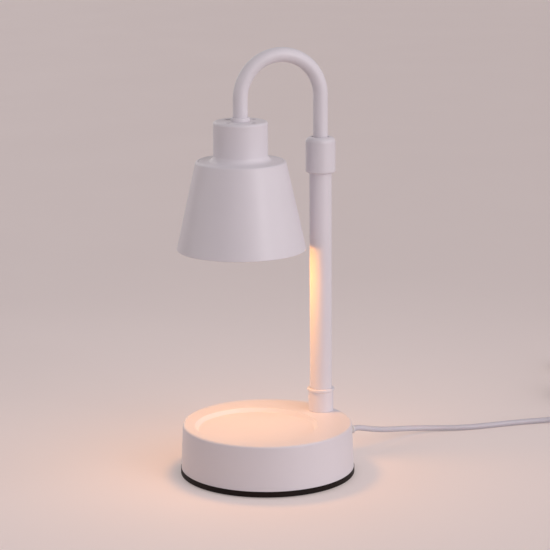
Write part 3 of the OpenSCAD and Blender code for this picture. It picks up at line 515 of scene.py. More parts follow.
def coil_point(turns):
    """The coil's centre line after so many turns: four layers, in and out by turns."""
    layers, pitch, outer, lowest = 4, 5.0, 30.1, 3.35
    per = COIL_TURNS / layers
    layer = min(int(turns / per), layers - 1)
    along = turns - layer * per
    inner = outer - pitch * per
    r = outer - pitch * along if layer % 2 == 0 else inner + pitch * along

    def climb(k):
        s = min(1, max(0, (turns - k * per) * 2 + 0.5))
        return s * s * (3 - 2 * s)
    z = lowest + pitch * sum(climb(k) for k in range(1, layers))
    a = math.radians(COIL_START + 360 * turns)
    return COIL + Vector((r * math.cos(a), r * math.sin(a), z)) * MM


def lead_routes():
    """Points of the lead from the base to the dimmer, and of the lead from there to the plug."""
    d = sizes().lead
    floor = [(0.2, 97, 15), (0.2, 106, 12.6), (0, 118, 10), (-0.8, 130, 7.9), (-1, 142, 6),
             (0.5, 154, 4.3), (4.5, 165, 3.2), (10.5, 176, 2.6), (17, 188, 2.3), (23, 201, 2.3),
             (28.2, 215, 2.3), (34, 230, 2.3), (40.5, 244, 2.4), (47, 254.5, 3), (52.5, 263, 4.6),
             (56.2, 270.5, 6.6)]
    first = [OUTLET, OUTLET + Vector((0, d, 0))] + points(floor)
    first += [dimmer_end(-1, 9), dimmer_end(-1, 0)]
    points_per_turn = 24
    steps = round(COIL_TURNS * points_per_turn)
    start, end = math.radians(COIL_START), math.radians(COIL_END)
    way_in = Vector((math.sin(start), -math.cos(start), 0))
    way_out = Vector((-math.sin(end), math.cos(end), 0))
    entry, leave = coil_point(0) + d * way_in, coil_point(COIL_TURNS) + d * way_out
    loose = [(91.6, 365, 6.2), (90.4, 373, 4.4), (86, 379.6, 3), (79, 383.8, 2.4), (70, 385, 2.3),
             (59, 383.4, 2.3), (48, 379.9, 2.3), (39.5, 375.8, 2.4), (32.5, 371.6, 2.9)]
    tail = [(20, 369.05, 17.3), (11.2, 370.9, 14.9), (2.4, 372.9, 12.1), (-4.5, 374.6, 9.8),
            (-9.4, 375.9, 8.4), (-11.4, 376.4, 8)]
    second = [dimmer_end(1, 0), dimmer_end(1, 9)] + points(loose)
    second += [entry + d * way_in, entry]
    second += [coil_point(COIL_TURNS * i / steps) for i in range(steps + 1)]
    second += [leave, leave + d * way_out] + points(tail) + [PLUG]
    return first, second


def tube(name, route, radius, sides=4):
    """One smooth tube along a route."""
    curve = bpy.data.curves.new(name, "CURVE")
    curve.dimensions = "3D"
    curve.bevel_depth = radius
    curve.bevel_resolution = sides
    curve.use_fill_caps = True
    curve.resolution_u = 4
    line = curve.splines.new("BEZIER")
    line.bezier_points.add(len(route) - 1)
    for knot, place in zip(line.bezier_points, route):
        knot.co = place
        knot.handle_left_type = knot.handle_right_type = "AUTO"
    return linked(name, curve)


def points(rows):
    """Points given in millimetres."""
    return [Vector(row) * MM for row in rows]


# ---------------- operators


class LAMP_OT_stage(bpy.types.Operator):
    """Camera at the photographed angle, pale floor and soft lamps"""
    bl_idname = "lamp.stage"
    bl_label = "Stage"

    def execute(self, context):
        scene = context.scene
        turn, pitch, lean = (math.radians(a) for a in (51.258, 12.636, -0.344))
        right = Vector((math.cos(turn), math.sin(turn), 0))
        away = Vector((-math.sin(turn), math.cos(turn), 0))
        ahead = math.cos(pitch) * away - up_by(math.sin(pitch))
        up = math.sin(pitch) * away + up_by(math.cos(pitch))
        side = math.cos(lean) * right + math.sin(lean) * up
        top = math.cos(lean) * up - math.sin(lean) * right
        lens = bpy.data.cameras.new("camera")
        lens.lens, lens.sensor_width = 142.45, 36
        lens.shift_x, lens.shift_y = -0.00493, 0.00188
        lens.clip_start, lens.clip_end = 0.05, 60
        camera = linked("camera", lens)
        camera_axes = Matrix((side, top, -ahead)).transposed().to_4x4()
        camera.matrix_world = Matrix.Translation((1.2234, -0.9709, 0.5002)) @ camera_axes
        scene.camera = camera
        self.floor()
        self.world(scene)
        light = scene.lamp_light
        for name, swing, height, strength, angle, colour in (
                ("key", 57, 28, light.key, 80, (1, 0.945, 0.985)),
                ("fill", -82, 12, light.fill, 50, (1, 0.94, 0.95)),
                ("back", -150, 16, light.back, 50, (1, 0.95, 0.96))):
            self.lamp(name, "SUN", self.toward(right, away, swing, height), strength,
                      math.radians(angle), colour)
        box_distance, box_width = 2.2, 0.7
        self.lamp("softbox", "AREA", self.toward(right, away, 46, 18) * box_distance,
                  light.softbox, box_width, (1, 0.95, 0.99))
        scene.view_settings.view_transform = "Standard"
        return {"FINISHED"}

    def toward(self, right, away, swing, height):
        """Way to a lamp, swung to the right of the camera and raised, both in degrees."""
        a, e = math.radians(swing), math.radians(height)
        level_way = right * math.sin(a) - away * math.cos(a)
        return level_way * math.cos(e) + up_by(math.sin(e))

    def lamp(self, name, kind, place, strength, size, colour):
        """A lamp that faces a point above the base's middle."""
        aim = up_by(0.14)
        data = bpy.data.lights.new(name, kind)
        data.energy, data.color = strength, colour
        if kind == "SUN":
            data.angle = size
        else:
            data.shape, data.size, data.size_y = "RECTANGLE", size, 2 * size
        turn = (-place).to_track_quat("-Z", "Y").to_matrix().to_4x4()
        linked(name, data).matrix_world = Matrix.Translation(place + aim) @ turn

    def floor(self):
        bm = bmesh.new()
        bmesh.ops.create_grid(bm, x_segments=2, y_segments=2, size=8)
        floor = new_object("floor", bm)
        floor.data.materials.append(self.floor_finish())

    def floor_finish(self):
        """Pale floor, lifted for the camera alone, more so beside the lamp."""
        material = make_finish("pale_floor", colours().floor, 0.006, (0.6, 0.7), 2, 6, 60,
                               Specular_IOR_Level=0.2, Emission_Color=(*colours().haze, 1))
        tree = material.node_tree
        far = add(tree, "ShaderNodeVectorMath", operation="LENGTH", Vector=place_on(tree))
        fade = add(tree, "ShaderNodeMapRange", interpolation_type="SMOOTHSTEP",
                   Value=far.outputs["Value"], From_Min=0.1, From_Max=0.75, To_Min=0.26, To_Max=0.17)
        lift = maths(tree, "MULTIPLY", fade.outputs["Result"], self.seen(tree))
        shader = next(n for n in tree.nodes if n.type == "BSDF_PRINCIPLED")
        tree.links.new(lift, shader.inputs["Emission Strength"])
        return material

    def seen(self, tree):
        """1 for a ray from the camera, directly or by way of metal or glass."""
        rays = add(tree, "ShaderNodeLightPath").outputs
        straight = maths(tree, "MAXIMUM", rays["Is Camera Ray"], rays["Is Glossy Ray"])
        return maths(tree, "MAXIMUM", straight, rays["Is Transmission Ray"])

    def world(self, scene):
        scene.world = bpy.data.worlds.new("studio")
        tree = nodes_of(scene.world)
        either = add(tree, "ShaderNodeMixShader", Fac=self.seen(tree))
        sky = ((1.0, 0.95, 0.985, 1), scene.lamp_light.sky)
        wall = ((*colours().haze, 1), 0.5)
        for socket, (colour, strength) in zip(either.inputs[1:], (sky, wall)):
            light = add(tree, "ShaderNodeBackground", Color=colour, Strength=strength)
            tree.links.new(light.outputs["Background"], socket)
        add(tree, "ShaderNodeOutputWorld", Surface=either.outputs["Shader"])


class LAMP_OT_leads(bpy.types.Operator):
    """Mains lead from the base to the dimmer, and from there through the coil to the plug"""
    bl_idname = "lamp.leads"
    bl_label = "Mains Lead"

    def execute(self, context):
        first, second = lead_routes()
        d = sizes().lead
        to_dimmer = tube("lead_to_dimmer", first, d / 2)
        piece(to_dimmer, "base", "lead_sheath", "cord_to_dimmer")
        rest = tube("lead_to_plug", second, d / 2)
        piece(rest, "base", "lead_sheath", "cord_to_coil", "cord_coil", "cord_tail")
        return {"FINISHED"}


class LAMP_OT_slack(bpy.types.Operator):
    """Loose helix of the lead inside the column, drawn at rest; the real lead opens and closes with
    the slide.
    """
    bl_idname = "lamp.slack"
    bl_label = "Slack Lead"

    def execute(self, context):
        lo, hi = span("slack_lead")
        turns, steps, swing, straight = 5, 120, 4.6 * MM, 4 * MM
        route = [up_by(lo)]
        for i in range(steps + 1):
            u = i / steps
            s = min(1, 5 * u, 5 - 5 * u)
            r, a = swing * s * s * (3 - 2 * s), math.tau * turns * u
            z = lo + straight + (hi - lo - 2 * straight) * u
            route.append(Vector((r * math.cos(a), r * math.sin(a), z)))
        route.append(up_by(hi))
        drawn = tube("slack_line", [p + COLUMN_AXIS for p in route], 1.6 * MM, 2)
        mesh = final_mesh(drawn)
        bpy.data.objects.remove(drawn)
        lead = linked("slack_in_column", mesh)
        mesh.materials.clear()
        mesh.materials.append(finish("lead_sheath"))
        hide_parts("slack_lead")
        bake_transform(lead)
        return {"FINISHED"}


class LAMP_OT_inner_leads(bpy.types.Operator):
    """Leads held inside the base, the column, the arm and the lampholder"""
    bl_idname = "lamp.inner_leads"
    bl_label = "Inner Leads"

    def execute(self, context):
        deck = high("counterweight").z / MM
        clamp = deck + 2.35
        supply = [(0, OUTLET.y / MM, 17), (0, 72, 17), (0, 62, 17), (0, 56, 17), (0, 50, 17),
                  (-1.4, 44, 16.4), (-3.2, 39, 15.5), (-4, 34, clamp), (-4, 26, clamp),
                  (-4, 21.5, 15.9), (-4, 17.5, 17.2), (-4, 14.5, deck + 5), (-4, 10, deck + 5)]
        axis, riser_top = COLUMN_AXIS.y / MM, high("column_lead").z / MM
        riser = [(-4, -8, 18), (-4, -13, 18), (-1.5, -19, 17.8), (3.5, -24, 17.6),
                 (10.5, -26, 17.5), (17.5, -23.5, 17.5), (22.5, -17.5, 17.6), (25.5, -9, 18),
                 (26, 0, 18.6), (24.8, 9, 19.3), (22.5, 18, 20.2), (19, 27, 21.2),
                 (14.5, 35.5, 22.2), (8.6, axis - 8, 22.7), (3.4, axis - 3, 23.2),
                 (0.8, axis - 0.7, 25.4), (0, axis, 29), (0, axis, 38), (0, axis, 48),
                 (0, axis, riser_top)]
        for name, node, route, radius in (
                ("lead_in_base", "supply_lead", supply, sizes().lead / 2),
                ("lead_in_column", "column_lead", riser, 1.6 * MM)):
            piece(tube(name, points(route), radius, 3), "base", "lead_sheath", node)
        lo, hi = span("arm_lead")
        bend = REACH / 2
        top, end = hi - 1.6 * MM - bend, low("shade_nipple").z - 1.5 * MM
        over = [(0, lo + (top - lo) * i / 8) for i in range(9)]
        over += [(bend * (1 - math.cos(a)), top + bend * math.sin(a))
                 for a in (math.pi * i / 16 for i in range(1, 16))]
        over += [(REACH, top + (end - top) * i / 4) for i in range(5)]
        route = [COLUMN_AXIS + ARM_WAY * out + up_by(z) for out, z in over]
        piece(tube("lead_in_arm", route, 1.58 * MM, 3), "arm", "lead_sheath", "arm_lead")
        across = Vector((math.cos(ARM_TURN), math.sin(ARM_TURN), 0))
        foot = low("holder_wires").z
        fall = [(0.75, end), (0.75, end - 1 * MM), (1.6, end - 2.3 * MM), (3, end - 3.5 * MM),
                (3.6, foot + 0.6 * MM), (3.6, foot)]
        for n, side in enumerate((-1, 1)):
            route = [SHADE_AXIS + across * (side * x * MM) + up_by(z) for x, z in fall]
            piece(tube(f"holder_wire_{n}", route, 0.68 * MM, 2), "arm", "wire_sleeve", "holder_wires")
        return {"FINISHED"}


class LAMP_OT_finishes(bpy.types.Operator):
    """Finishes of the pieces that keep their shape"""
    bl_idname = "lamp.finishes"
    bl_label = "Finishes"

    def execute(self, context):
        for name, obj in frame["nodes"].items():
            obj.data.materials.clear()
            obj.data.materials.append(finish(SLOT_OF[name]))
        return {"FINISHED"}


class LAMP_OT_base(bpy.types.Operator):
    """Base shell with its dish, the foot ring and the pad"""
    bl_idname = "lamp.base"
    bl_label = "Base"

    def execute(self, context):
        s = sizes()
        self.shell(s)
        ring_r = high("bottom_plate").x
        pad_r, pad_top = high("anti_slip_pad").x, high("anti_slip_pad").z
        under = low("bottom_plate").z
        recess, spigot, inside, floor = pad_r + 0.3 * MM, 62.3 * MM, 60.2 * MM, 5 * MM
        plate = turned([
            (0, pad_top), (recess, pad_top), (recess, under, EASE), (ring_r, under, s.ring_edge),
            (ring_r, RING_TOP, s.ring_edge), (spigot, RING_TOP), (spigot, 9 * MM, 0.4 * MM),
            (inside, 9 * MM, 0.4 * MM), (inside, floor), (0, floor)])
        piece(new_object("foot_ring", plate), "base", "black_plastic", "bottom_plate")
        grooves = []
        width, depth, eased = 1.6 * MM, 0.6 * MM, 0.15 * MM
        for i in range(6):
            r = pad_r - (5 + 8 * i) * MM
            grooves += [(r, 0, eased), (r, depth), (r - width, depth), (r - width, 0, eased)]
        outline = [(0, pad_top), (pad_r, pad_top, 0.2 * MM), (pad_r, 0, 0.4 * MM)] + grooves
        pad = turned(outline + [(0, 0)], segments=3)
        piece(new_object("anti_slip_foot", pad), "base", "pad_rubber", "anti_slip_pad")
        return {"FINISHED"}

    def shell(self, s):
        foot_r, top_r, wall = 64.58 * MM, 63.1 * MM, 2 * MM
        dish_r, floor_r, dish_z = 45.275 * MM, 43.075 * MM, BASE_TOP - 3 * MM
        dish = Vector((0, -10.525 * MM, 0))
        shell = new_object("base_cover", turned(
            [(0, RING_TOP), (foot_r, RING_TOP), (top_r, BASE_TOP, s.shell_edge), (0, BASE_TOP)],
            steps=192, segments=7))
        lip, up, over = s.dish_rim, 0.02 * MM, 2 * MM
        rim = [(dish_r + lip * (1 - math.sin(a)) * 0.9, BASE_TOP + up - lip * (1 - math.cos(a)))
               for a in (math.radians(t) for t in (0, 15, 30, 45, 57))]
        rim[0] = (dish_r + lip, BASE_TOP + up)
        scoop = [(0, dish_z), (floor_r, dish_z, s.dish_corner)] + rim[::-1]
        scoop += [(dish_r + lip, BASE_TOP + over), (0, BASE_TOP + over)]
        carve(shell, placed(turned(scoop, steps=192), move=dish))
        under, roof = RING_TOP - 1 * MM, BASE_TOP - wall
        hollow = new_object("hollow", turned(
            [(0, under), (foot_r - wall, under), (top_r - wall, roof, 1 * MM), (0, roof)], steps=96))
        carve(hollow, placed(turned(
            [(0, dish_z - wall), (dish_r + wall, dish_z - wall), (dish_r + wall, BASE_TOP),
             (0, BASE_TOP)], steps=96), move=dish))
        inside = bmesh.new()
        inside.from_mesh(hollow.data)
        bpy.data.objects.remove(hollow)
        carve(shell, inside)
        for r, turn, place in ((3.95 * MM, (math.pi / 2, "X"), (0, foot_r, OUTLET.z)),
                               (5.1 * MM, None, (0, COLUMN_AXIS.y, BASE_TOP))):
            carve(shell, placed(rod(r, 12 * MM, 48), turn, place))
        smooth(shell.data)
        piece(shell, "base", "white_paint", "base_shell")


class LAMP_OT_column(bpy.types.Operator):
    """Foot ferrule, column tube and twist collar"""
    bl_idname = "lamp.column"
    bl_label = "Column"

    def execute(self, context):
        s = sizes()
        lo, hi = span("foot_ferrule")
        lip, bore, outer, lip_r = hi - 2.2 * MM, 8.32 * MM, 9.45 * MM, 10.25 * MM
        ferrule = turned([
            (bore, lo), (outer, lo, EASE), (outer, lip, EASE), (lip_r, lip, 0.6 * MM),
            (lip_r, hi, 0.7 * MM), (bore, hi, EASE)], steps=96)
        self.stand("column_foot", ferrule, "base", "foot_ferrule")
        lo, hi = span("column_tube")
        bore, outer = 7.1 * MM, 8.3 * MM
        column = turned([(bore, lo), (outer, lo), (outer, hi, EASE), (bore, hi, EASE)], steps=96)
        self.stand("column", column, "base", "column_tube")
        lo, hi = span("lock_collar")
        bore, outer, mouth, land = 8.38 * MM, 11.1 * MM, 6.2 * MM, hi - 2.8 * MM
        collar = turned([
            (bore, lo, EASE), (outer, lo, s.collar_foot), (outer, hi, s.collar_top),
            (mouth, hi, 0.35 * MM), (mouth, land), (7.25 * MM, land), (bore, hi - 9 * MM)],
            steps=96, segments=8)
        self.stand("twist_collar", collar, "collar", "lock_collar")
        return {"FINISHED"}

    def stand(self, name, bm, body, node):
        """Makes a turned piece that stands on the column's axis."""
        obj = new_object(name, placed(bm, move=COLUMN_AXIS))
        piece(obj, body, "white_paint", node)


class LAMP_OT_arm(bpy.types.Operator):
    """Bent arm tube and the ring nut that it stands in"""
    bl_idname = "lamp.arm"
    bl_label = "Arm"

    def execute(self, context):
        r, bend = 5.45 * MM, REACH / 2
        start, top = low("arm_tube").z, high("arm_tube").z - r - bend
        end = SHADE_TOP + 1.5 * MM
        bm = bmesh.new()
        outline = bmesh.ops.create_circle(bm, cap_ends=False, radius=r, segments=64)["verts"]
        bmesh.ops.translate(bm, vec=(0, 0, start), verts=outline)
        loop = list(bm.edges)

        def carry(geom, shift):
            new = bmesh.ops.extrude_edge_only(bm, edges=geom)["geom"]
            verts = [g for g in new if isinstance(g, bmesh.types.BMVert)]
            bmesh.ops.translate(bm, vec=shift, verts=verts)
            return [g for g in new if isinstance(g, bmesh.types.BMEdge)
                    and g.verts[0] in verts and g.verts[1] in verts]
        for _ in range(4):
            loop = carry(loop, (0, 0, (top - start) / 4))
        spun = bmesh.ops.spin(bm, geom=loop + list({v for e in loop for v in e.verts}),
                              cent=(0, -bend, top), axis=(1, 0, 0), angle=math.pi, steps=72,
                              use_merge=False, use_duplicate=False)["geom_last"]
        loop = [g for g in spun if isinstance(g, bmesh.types.BMEdge)]
        for _ in range(2):
            loop = carry(loop, (0, 0, (end - top) / 2))
        bmesh.ops.remove_doubles(bm, verts=bm.verts, dist=SAME)
        bmesh.ops.recalc_face_normals(bm, faces=bm.faces)
        arm = new_object("bent_arm", placed(bm, (ARM_TURN, "Z"), COLUMN_AXIS))
        wall = arm.modifiers.new("wall", "SOLIDIFY")
        wall.thickness, wall.offset, wall.use_even_offset = 1.0 * MM, -1, True
        piece(arm, "arm", "white_paint", "arm_tube")
        lo, hi = span("crown_ring")
        bore, outer, socket, ledge = 4.1 * MM, 6.9 * MM, 5.52 * MM, hi - 1.4 * MM
        crown = turned([(bore, lo), (outer, lo, 0.2 * MM), (outer, hi, 0.8 * MM),
                        (socket, hi, 0.2 * MM), (socket, ledge), (bore, ledge)], steps=72)
        hang("arm_ring", crown, "white_paint", "crown_ring")
        return {"FINISHED"}


class LAMP_OT_shade(bpy.types.Operator):
    """Spun cap with its vents and flange, and the cone seated under the flange"""
    bl_idname = "lamp.shade"
    bl_label = "Shade"

    def execute(self, context):
        s = sizes()
        top, mouth, shoulder = SHADE_TOP, SHADE_MOUTH, SHADE_TOP - 29.3 * MM
        seam, gap = 31.0 * MM, 0.06 * MM
        bore, cap_r, foot = 4.05 * MM, 20.1 * MM, shoulder + 0.6 * MM
        cap = turned([
            (bore, top), (cap_r, top, 2 * MM), (cap_r, foot, 4.2 * MM), (seam, shoulder, 0.25 * MM),
            (seam, shoulder - WALL), (cap_r - WALL, foot - WALL, 5.4 * MM),
            (cap_r - WALL, top - WALL, 0.8 * MM), (bore, top - WALL)], segments=8)
        cap = new_object("shade_crown", placed(cap, move=SHADE_AXIS))
        first_vent, vents_r, flared = 25, 13 * MM, s.vent + 0.14 * MM
        for i in range(4):
            a = math.radians(first_vent + 90 * i) + ARM_TURN
            hole = SHADE_AXIS + Vector((math.cos(a), math.sin(a), 0)) * vents_r
            cutter = turned([
                (0, -4 * MM), (s.vent, -4 * MM), (s.vent, -0.12 * MM),
                (s.vent + 0.04 * MM, -0.03 * MM), (flared, 0.02 * MM), (flared, 1 * MM),
                (0, 1 * MM)], steps=40)
            carve(cap, placed(cutter, move=hole + up_by(top)))
        smooth(cap.data)
        piece(cap, "arm", "white_paint", "shade_cap")
        flare, drop, mouth_r, lap = 14.7, 65.8, 47.9 * MM, seam - 2.5 * MM
        land = shoulder - WALL - gap
        side = WALL / math.cos(math.atan2(flare, drop))
        inner = mouth_r - side - (land - WALL - mouth) * flare / drop
        cone = turned([
            (lap, land), (seam + gap, land), (seam + gap, shoulder, 0.25 * MM),
            (33.2 * MM, shoulder, 1.8 * MM), (mouth_r, mouth, 0.5 * MM),
            (mouth_r - side, mouth, 0.4 * MM), (inner, land - WALL, 0.6 * MM), (lap, land - WALL)],
            segments=7)
        hang("shade_cone", cone, "white_paint", "shade")
        return {"FINISHED"}


class LAMP_OT_bulb(bpy.types.Operator):
    """Halogen bulb: facetted reflector, front lens, capsule and filament, and its light"""
    bl_idname = "lamp.bulb"
    bl_label = "Bulb"

    def execute(self, context):
        lo, hi = span("bulb_reflector")
        outer, neck = 25 * MM, 13.2 * MM
        depth = hi - lo - 3 * MM

        def bowl(inset, rows=7):
            return [(neck - inset + (outer - neck) * math.sin(math.pi / 2 * i / rows),
                     hi - depth * (1 - math.cos(math.pi / 2 * i / rows)) - (inset if i == 0 else 0))
                    for i in range(rows + 1)]
        wall = 1.35 * MM
        section = [(0, hi)] + bowl(0) + [(outer, lo), (outer - wall, lo)]
        cup = turned(section + bowl(wall)[::-1] + [(0, hi - wall)], steps=36)
        reflector = new_object("bulb_cup", placed(cup, move=SHADE_AXIS), sharp=4)
        piece(reflector, "arm", "bulb_glass", "bulb_reflector", coat=finish("reflector"),
              evened=False)
        lo, hi = span("bulb_lens")
        lens = turned([(0, hi), (23.5 * MM, hi, EASE), (23.5 * MM, lo + 0.3 * MM, EASE),
                       (14 * MM, lo + 0.05 * MM), (0, lo)], steps=72)
        hang("front_lens", lens, "bulb_glass", "bulb_lens")
        lo, hi = span("bulb_capsule")
        capsule = turned([(0, hi), (4.4 * MM, hi), (4.4 * MM, hi - 6 * MM, 0.5 * MM),
                          (3.6 * MM, hi - 7 * MM), (3.6 * MM, lo + 3.2 * MM, 1.5 * MM),
                          (1.2 * MM, lo + 0.4 * MM, 0.5 * MM), (0, lo)], steps=36)
        hang("bulb_capsule_glass", capsule, "bulb_glass", "bulb_capsule")
        height, steps, width, r, turn = lo + 7 * MM, 60, 4.4 * MM, 0.7 * MM, 1.05
        coil = [SHADE_AXIS + Vector(((i / steps - 0.5) * width, r * math.cos(i * turn),
                                     height + r * math.sin(i * turn))) for i in range(steps + 1)]
        wire = tube("filament", coil, 0.16 * MM, 1)
        piece(wire, "arm", "bulb_glass", coat=finish("filament"))
        self.shine("bulb_light", low("bulb_lens").z - 1 * MM, 44 * MM, 0.6)
        self.shine("shade_glow", SHADE_MOUTH + 1 * MM, 50 * MM, 0.4)
        return {"FINISHED"}

    def shine(self, name, height, size, share):
        """A disc of light on the shade's axis that faces down and moves with the arm."""
        light = bpy.data.lights.new(name, "AREA")
        light.shape, light.size = "DISK", size
        light.energy, light.color = bpy.context.scene.lamp_light.bulb * share, colours().glow
        lamp = linked(name, light)
        lamp.location = SHADE_AXIS + up_by(height)
        lamp.visible_camera = lamp.visible_glossy = False
        lamp.parent = frame["bodies"]["arm"]


class LAMP_OT_strain_relief(bpy.types.Operator):
    """Ribbed strain relief where the lead leaves the base"""
    bl_idname = "lamp.strain_relief"
    bl_label = "Strain Relief"

    def execute(self, context):
        lo, tip = low("cord_gland").y, OUTLET.y
        wall = tip - 20 * MM
        bore, flange, waist, ribs = 2.3 * MM, 5.4 * MM, 3.9 * MM, sizes().boot_ribs
        section = [(bore, lo), (flange, lo, EASE), (flange, lo + 2 * MM, EASE), (waist, lo + 2 * MM),
                   (waist, wall + 0.36 * MM), (flange, wall + 0.36 * MM, EASE),
                   (flange, wall + 2.3 * MM, 0.7 * MM)]
        body = tip - wall - 2.6 * MM
        for i in range(ribs):
            a = wall + 2.6 * MM + body * i / ribs
            crest = (4.4 - 1.3 * i / ribs) * MM
            valley = crest - 0.7 * MM
            section += [(valley, a), (valley, a + body * 0.4 / ribs),
                        (crest, a + body * 0.42 / ribs, 0.2 * MM),
                        (crest, a + body * 0.98 / ribs, 0.2 * MM)]
        section += [(2.75 * MM, tip - 0.1 * MM), (2.6 * MM, tip), (bore, tip)]
        boot = turned(section, steps=48, segments=3)
        placed(boot, (-math.pi / 2, "X"), (0, 0, OUTLET.z))
        piece(new_object("lead_boot", boot), "base", "gland_rubber", "cord_gland")
        return {"FINISHED"}


class LAMP_OT_dimmer(bpy.types.Operator):
    """In-line dimmer: two shells, cord boots and a ribbed thumb wheel"""
    bl_idname = "lamp.dimmer"
    bl_label = "Dimmer"

    def execute(self, context):
        wheel_y = -6 * MM
        for name, node, lo, hi, flat, seam in (
                ("dimmer_bottom", "dimmer_lower_shell", 0, 7.85, 0, 7.85),
                ("dimmer_top", "dimmer_upper_shell", 8.15, CASE_HEIGHT, CASE_HEIGHT, 8.15)):
            bm = block((CASE_LENGTH * MM, CASE_WIDTH * MM, (hi - lo) * MM),
                       (0, 0, (hi + lo) / 2 * MM))
            round_edges(bm, upright_edges(bm), 8 * MM, 10)
            round_edges(bm, flat_rim(bm, flat * MM), 2.2 * MM, 6)
            round_edges(bm, flat_rim(bm, seam * MM), EASE, 2)
            bmesh.ops.recalc_face_normals(bm, faces=bm.faces)
            shell = new_object(name, bm)
            carve(shell, placed(rod(11 * MM, 5.8 * MM, 72), move=(0, wheel_y, LEAD_HEIGHT)))
            if not flat:
                for x in (-19, 19):
                    hole = rod(3 * MM, 3.8 * MM, 32)
                    carve(shell, placed(hole, move=(x * MM, -7.6 * MM, 0)))
            place = Matrix.Translation(DIMMER) @ Matrix.Rotation(DIMMER_TURN, 4, "Z")
            shell.data.transform(place)
            smooth(shell.data)
            piece(shell, "base", "switch_plastic", node)
        self.boots()
        self.wheel(wheel_y)
        return {"FINISHED"}

    def boots(self):
        both, bore, tip = bmesh.new(), 2.27 * MM, 34 * MM
        for side in (0, 1):
            section = [(bore, 22 * MM), (3.1 * MM, 22 * MM), (3.1 * MM, 26.05 * MM)]
            for i in range(4):
                a, crest = 26.05 + 2 * i, (4.5 - 0.4 * i) * MM
                valley = crest - 0.5 * MM
                section += [(crest, (a + 0.05) * MM, 0.2 * MM), (crest, (a + 1.2) * MM, 0.2 * MM),
                            (valley, (a + 1.25) * MM), (valley, (a + 1.9) * MM)]
            section += [(2.7 * MM, tip), (bore, tip)]
            bm = turned(section, steps=40, segments=2)
            placed(bm, (math.pi / 2, "Y"))
            placed(bm, (side * math.pi + DIMMER_TURN, "Z"), DIMMER + up_by(LEAD_HEIGHT))
            join(both, bm)
        piece(new_object("dimmer_cord_boots", both), "base", "gland_rubber", "dimmer_boots")

    def wheel(self, wheel_y):
        """Turns the thumb wheel, then raises every second face of its rim as a rib."""
        bore, r, t = 1.55 * MM, 10.0 * MM, 5 * MM
        bm = turned([(bore, 0), (r, 0), (r, t), (bore, t)], steps=sizes().wheel_ribs * 2)
        rim = [f for f in bm.faces if abs(f.normal.z) < 0.1
               and math.hypot(*f.calc_center_median().xy) > r - 1 * MM]
        rim.sort(key=lambda f: math.atan2(f.calc_center_median().y, f.calc_center_median().x))
        for face in rim[::2]:
            bmesh.ops.inset_individual(bm, faces=[face], thickness=0.08 * MM, depth=0.0)
            bmesh.ops.translate(bm, vec=face.normal * 0.45 * MM, verts=face.verts)
        placed(bm, move=(0, wheel_y, 5.5 * MM))
        placed(bm, (DIMMER_TURN, "Z"), DIMMER)
        piece(new_object("thumb_wheel", bm, 20), "thumb_wheel", "black_plastic", "dimmer_wheel")


class LAMP_OT_tie(bpy.types.Operator):
    """Touch-fastening strap round the coil"""
    bl_idname = "lamp.tie"
    bl_label = "Tie"

    def execute(self, context):
        turn = math.radians(215)
        inner, outer = 15.1 * MM, 33.5 * MM
        base, top, width = 0, high("coil_tie").z, 8 * MM
        bm = bmesh.new()
        corners = [bm.verts.new(p) for p in ((inner, 0, base), (outer, 0, base),
                                             (outer, 0, top), (inner, 0, top))]
        for i in range(4):
            bm.edges.new((corners[i], corners[(i + 1) % 4]))
        bmesh.ops.bevel(bm, geom=list(bm.verts), offset=3.2 * MM, offset_type="OFFSET", segments=6,
                        profile=0.5, affect="VERTICES", material=-1)
        bmesh.ops.translate(bm, vec=(0, -width / 2, 0), verts=bm.verts)
        new = bmesh.ops.extrude_edge_only(bm, edges=list(bm.edges))["geom"]
        bmesh.ops.translate(bm, vec=(0, width, 0),
                            verts=[g for g in new if isinstance(g, bmesh.types.BMVert)])
        bmesh.ops.recalc_face_normals(bm, faces=bm.faces)
        if max(bm.faces, key=lambda f: f.calc_center_median().z).normal.z < 0:
            bmesh.ops.reverse_faces(bm, faces=bm.faces)
        placed(bm, (turn, "Z"), COIL)
        strap = new_object("coil_strap", bm)
        wall = strap.modifiers.new("wall", "SOLIDIFY")
        wall.thickness, wall.offset, wall.use_even_offset = 0.95 * MM, -1, True
        piece(strap, "base", "black_plastic", "coil_tie", coat=finish("strap"))
        return {"FINISHED"}


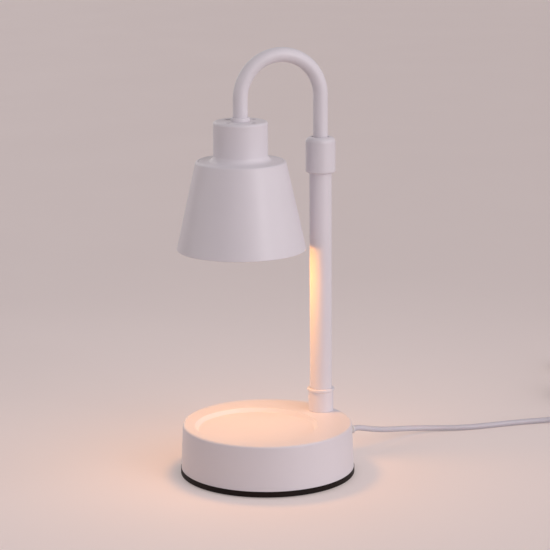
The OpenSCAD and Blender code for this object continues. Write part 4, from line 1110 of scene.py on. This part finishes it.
class LAMP_OT_plug(bpy.types.Operator):
    """Moulded two-pin plug with grips and a ribbed boot"""
    bl_idname = "lamp.plug"
    bl_label = "Plug"

    def execute(self, context):
        bm = block((26 * MM, 24 * MM, 16 * MM), (29 * MM, 0, 0))
        back = [v for v in bm.verts if v.co.x < 20 * MM]
        bmesh.ops.scale(bm, vec=(1, 0.62, 0.72), verts=back)
        bmesh.ops.subdivide_edges(bm, cuts=1, edges=[
            e for e in bm.edges if abs(e.verts[0].co.x - e.verts[1].co.x) > 10 * MM])
        waist = [v for v in bm.verts if 20 * MM < v.co.x < 35 * MM]
        for v in waist:
            v.co.x = 23 * MM
            v.co.y = math.copysign(12 * MM, v.co.y)
            v.co.z = math.copysign(8 * MM, v.co.z)
        long_edges = [e for e in bm.edges if len(e.link_faces) == 2 and e.calc_face_angle(0) > 0.1
                      and not all(abs(v.co.x - 16 * MM) < SAME for v in e.verts)]
        round_edges(bm, long_edges, 1.9 * MM, 5)
        bmesh.ops.recalc_face_normals(bm, faces=bm.faces)
        body = new_object("plug_moulding", bm)
        for side in (-1, 1):
            for i in range(4):
                carve(body, block((1.1 * MM, 12 * MM, 0.9 * MM),
                                  ((25.5 + 2.6 * i) * MM, 0, side * 8 * MM)))
        joined = bmesh.new()
        joined.from_mesh(body.data)
        bpy.data.objects.remove(body)
        bore, end = 2.27 * MM, 16.6 * MM
        section = [(bore, 0)]
        for i in range(5):
            a, crest = 0.2 + 3.1 * i, (3.0 + 0.5 * i) * MM
            valley = crest - 0.5 * MM
            section += [(valley, a * MM), (crest, (a + 0.6) * MM, 0.2 * MM),
                        (crest, (a + 2.1) * MM, 0.2 * MM), (valley, (a + 2.6) * MM)]
        section += [(4.8 * MM, end), (bore, end)]
        join(joined, placed(turned(section, steps=40, segments=2), (math.pi / 2, "Y")))
        placed(joined, (PLUG_TURN, "Z"), PLUG)
        piece(new_object("plug_housing", joined), "base", "gland_rubber", "plug_body")
        return {"FINISHED"}


class LAMP_OT_declare_leads(bpy.types.Operator):
    """Works out the routes of the two free leads and does nothing more with them"""
    bl_idname = "lamp.declare_leads"
    bl_label = "Declare Leads"

    def execute(self, context):
        first, second = lead_routes()
        return {"FINISHED"}


class LAMP_PT_panel(bpy.types.Panel):
    """Lists the lamp's pieces and settings"""
    bl_idname = "LAMP_PT_panel"
    bl_label = "Candle Warmer Lamp"
    bl_space_type = "VIEW_3D"
    bl_region_type = "UI"
    bl_category = "Lamp"

    def draw(self, context):
        layout, scene = self.layout, context.scene
        for group in (scene.lamp_sizes, scene.lamp_colours, scene.lamp_light):
            box = layout.box()
            for name in group.__annotations__:
                box.prop(group, name)
        for operator in OPERATORS:
            layout.operator(operator.bl_idname)


OPERATORS = (LAMP_OT_stage, LAMP_OT_leads, LAMP_OT_slack, LAMP_OT_inner_leads,
             LAMP_OT_finishes, LAMP_OT_base, LAMP_OT_column, LAMP_OT_arm, LAMP_OT_shade,
             LAMP_OT_bulb, LAMP_OT_strain_relief, LAMP_OT_dimmer, LAMP_OT_tie, LAMP_OT_plug,
             LAMP_OT_declare_leads)
GROUPS = {"lamp_sizes": LampSizes, "lamp_colours": LampColours, "lamp_light": LampLight}


def register():
    for group in GROUPS.values():
        bpy.utils.register_class(group)
    for name, group in GROUPS.items():
        setattr(bpy.types.Scene, name, PointerProperty(type=group))
    for operator in OPERATORS:
        bpy.utils.register_class(operator)
    bpy.utils.register_class(LAMP_PT_panel)


def unregister():
    bpy.utils.unregister_class(LAMP_PT_panel)
    for operator in reversed(OPERATORS):
        bpy.utils.unregister_class(operator)
    for name, group in GROUPS.items():
        delattr(bpy.types.Scene, name)
        bpy.utils.unregister_class(group)


def main():
    register()
    for operator in OPERATORS:
        family, verb = operator.bl_idname.split(".")
        getattr(getattr(bpy.ops, family), verb)()
    bpy.context.view_layer.update()


if __name__ == "__main__":
    main()
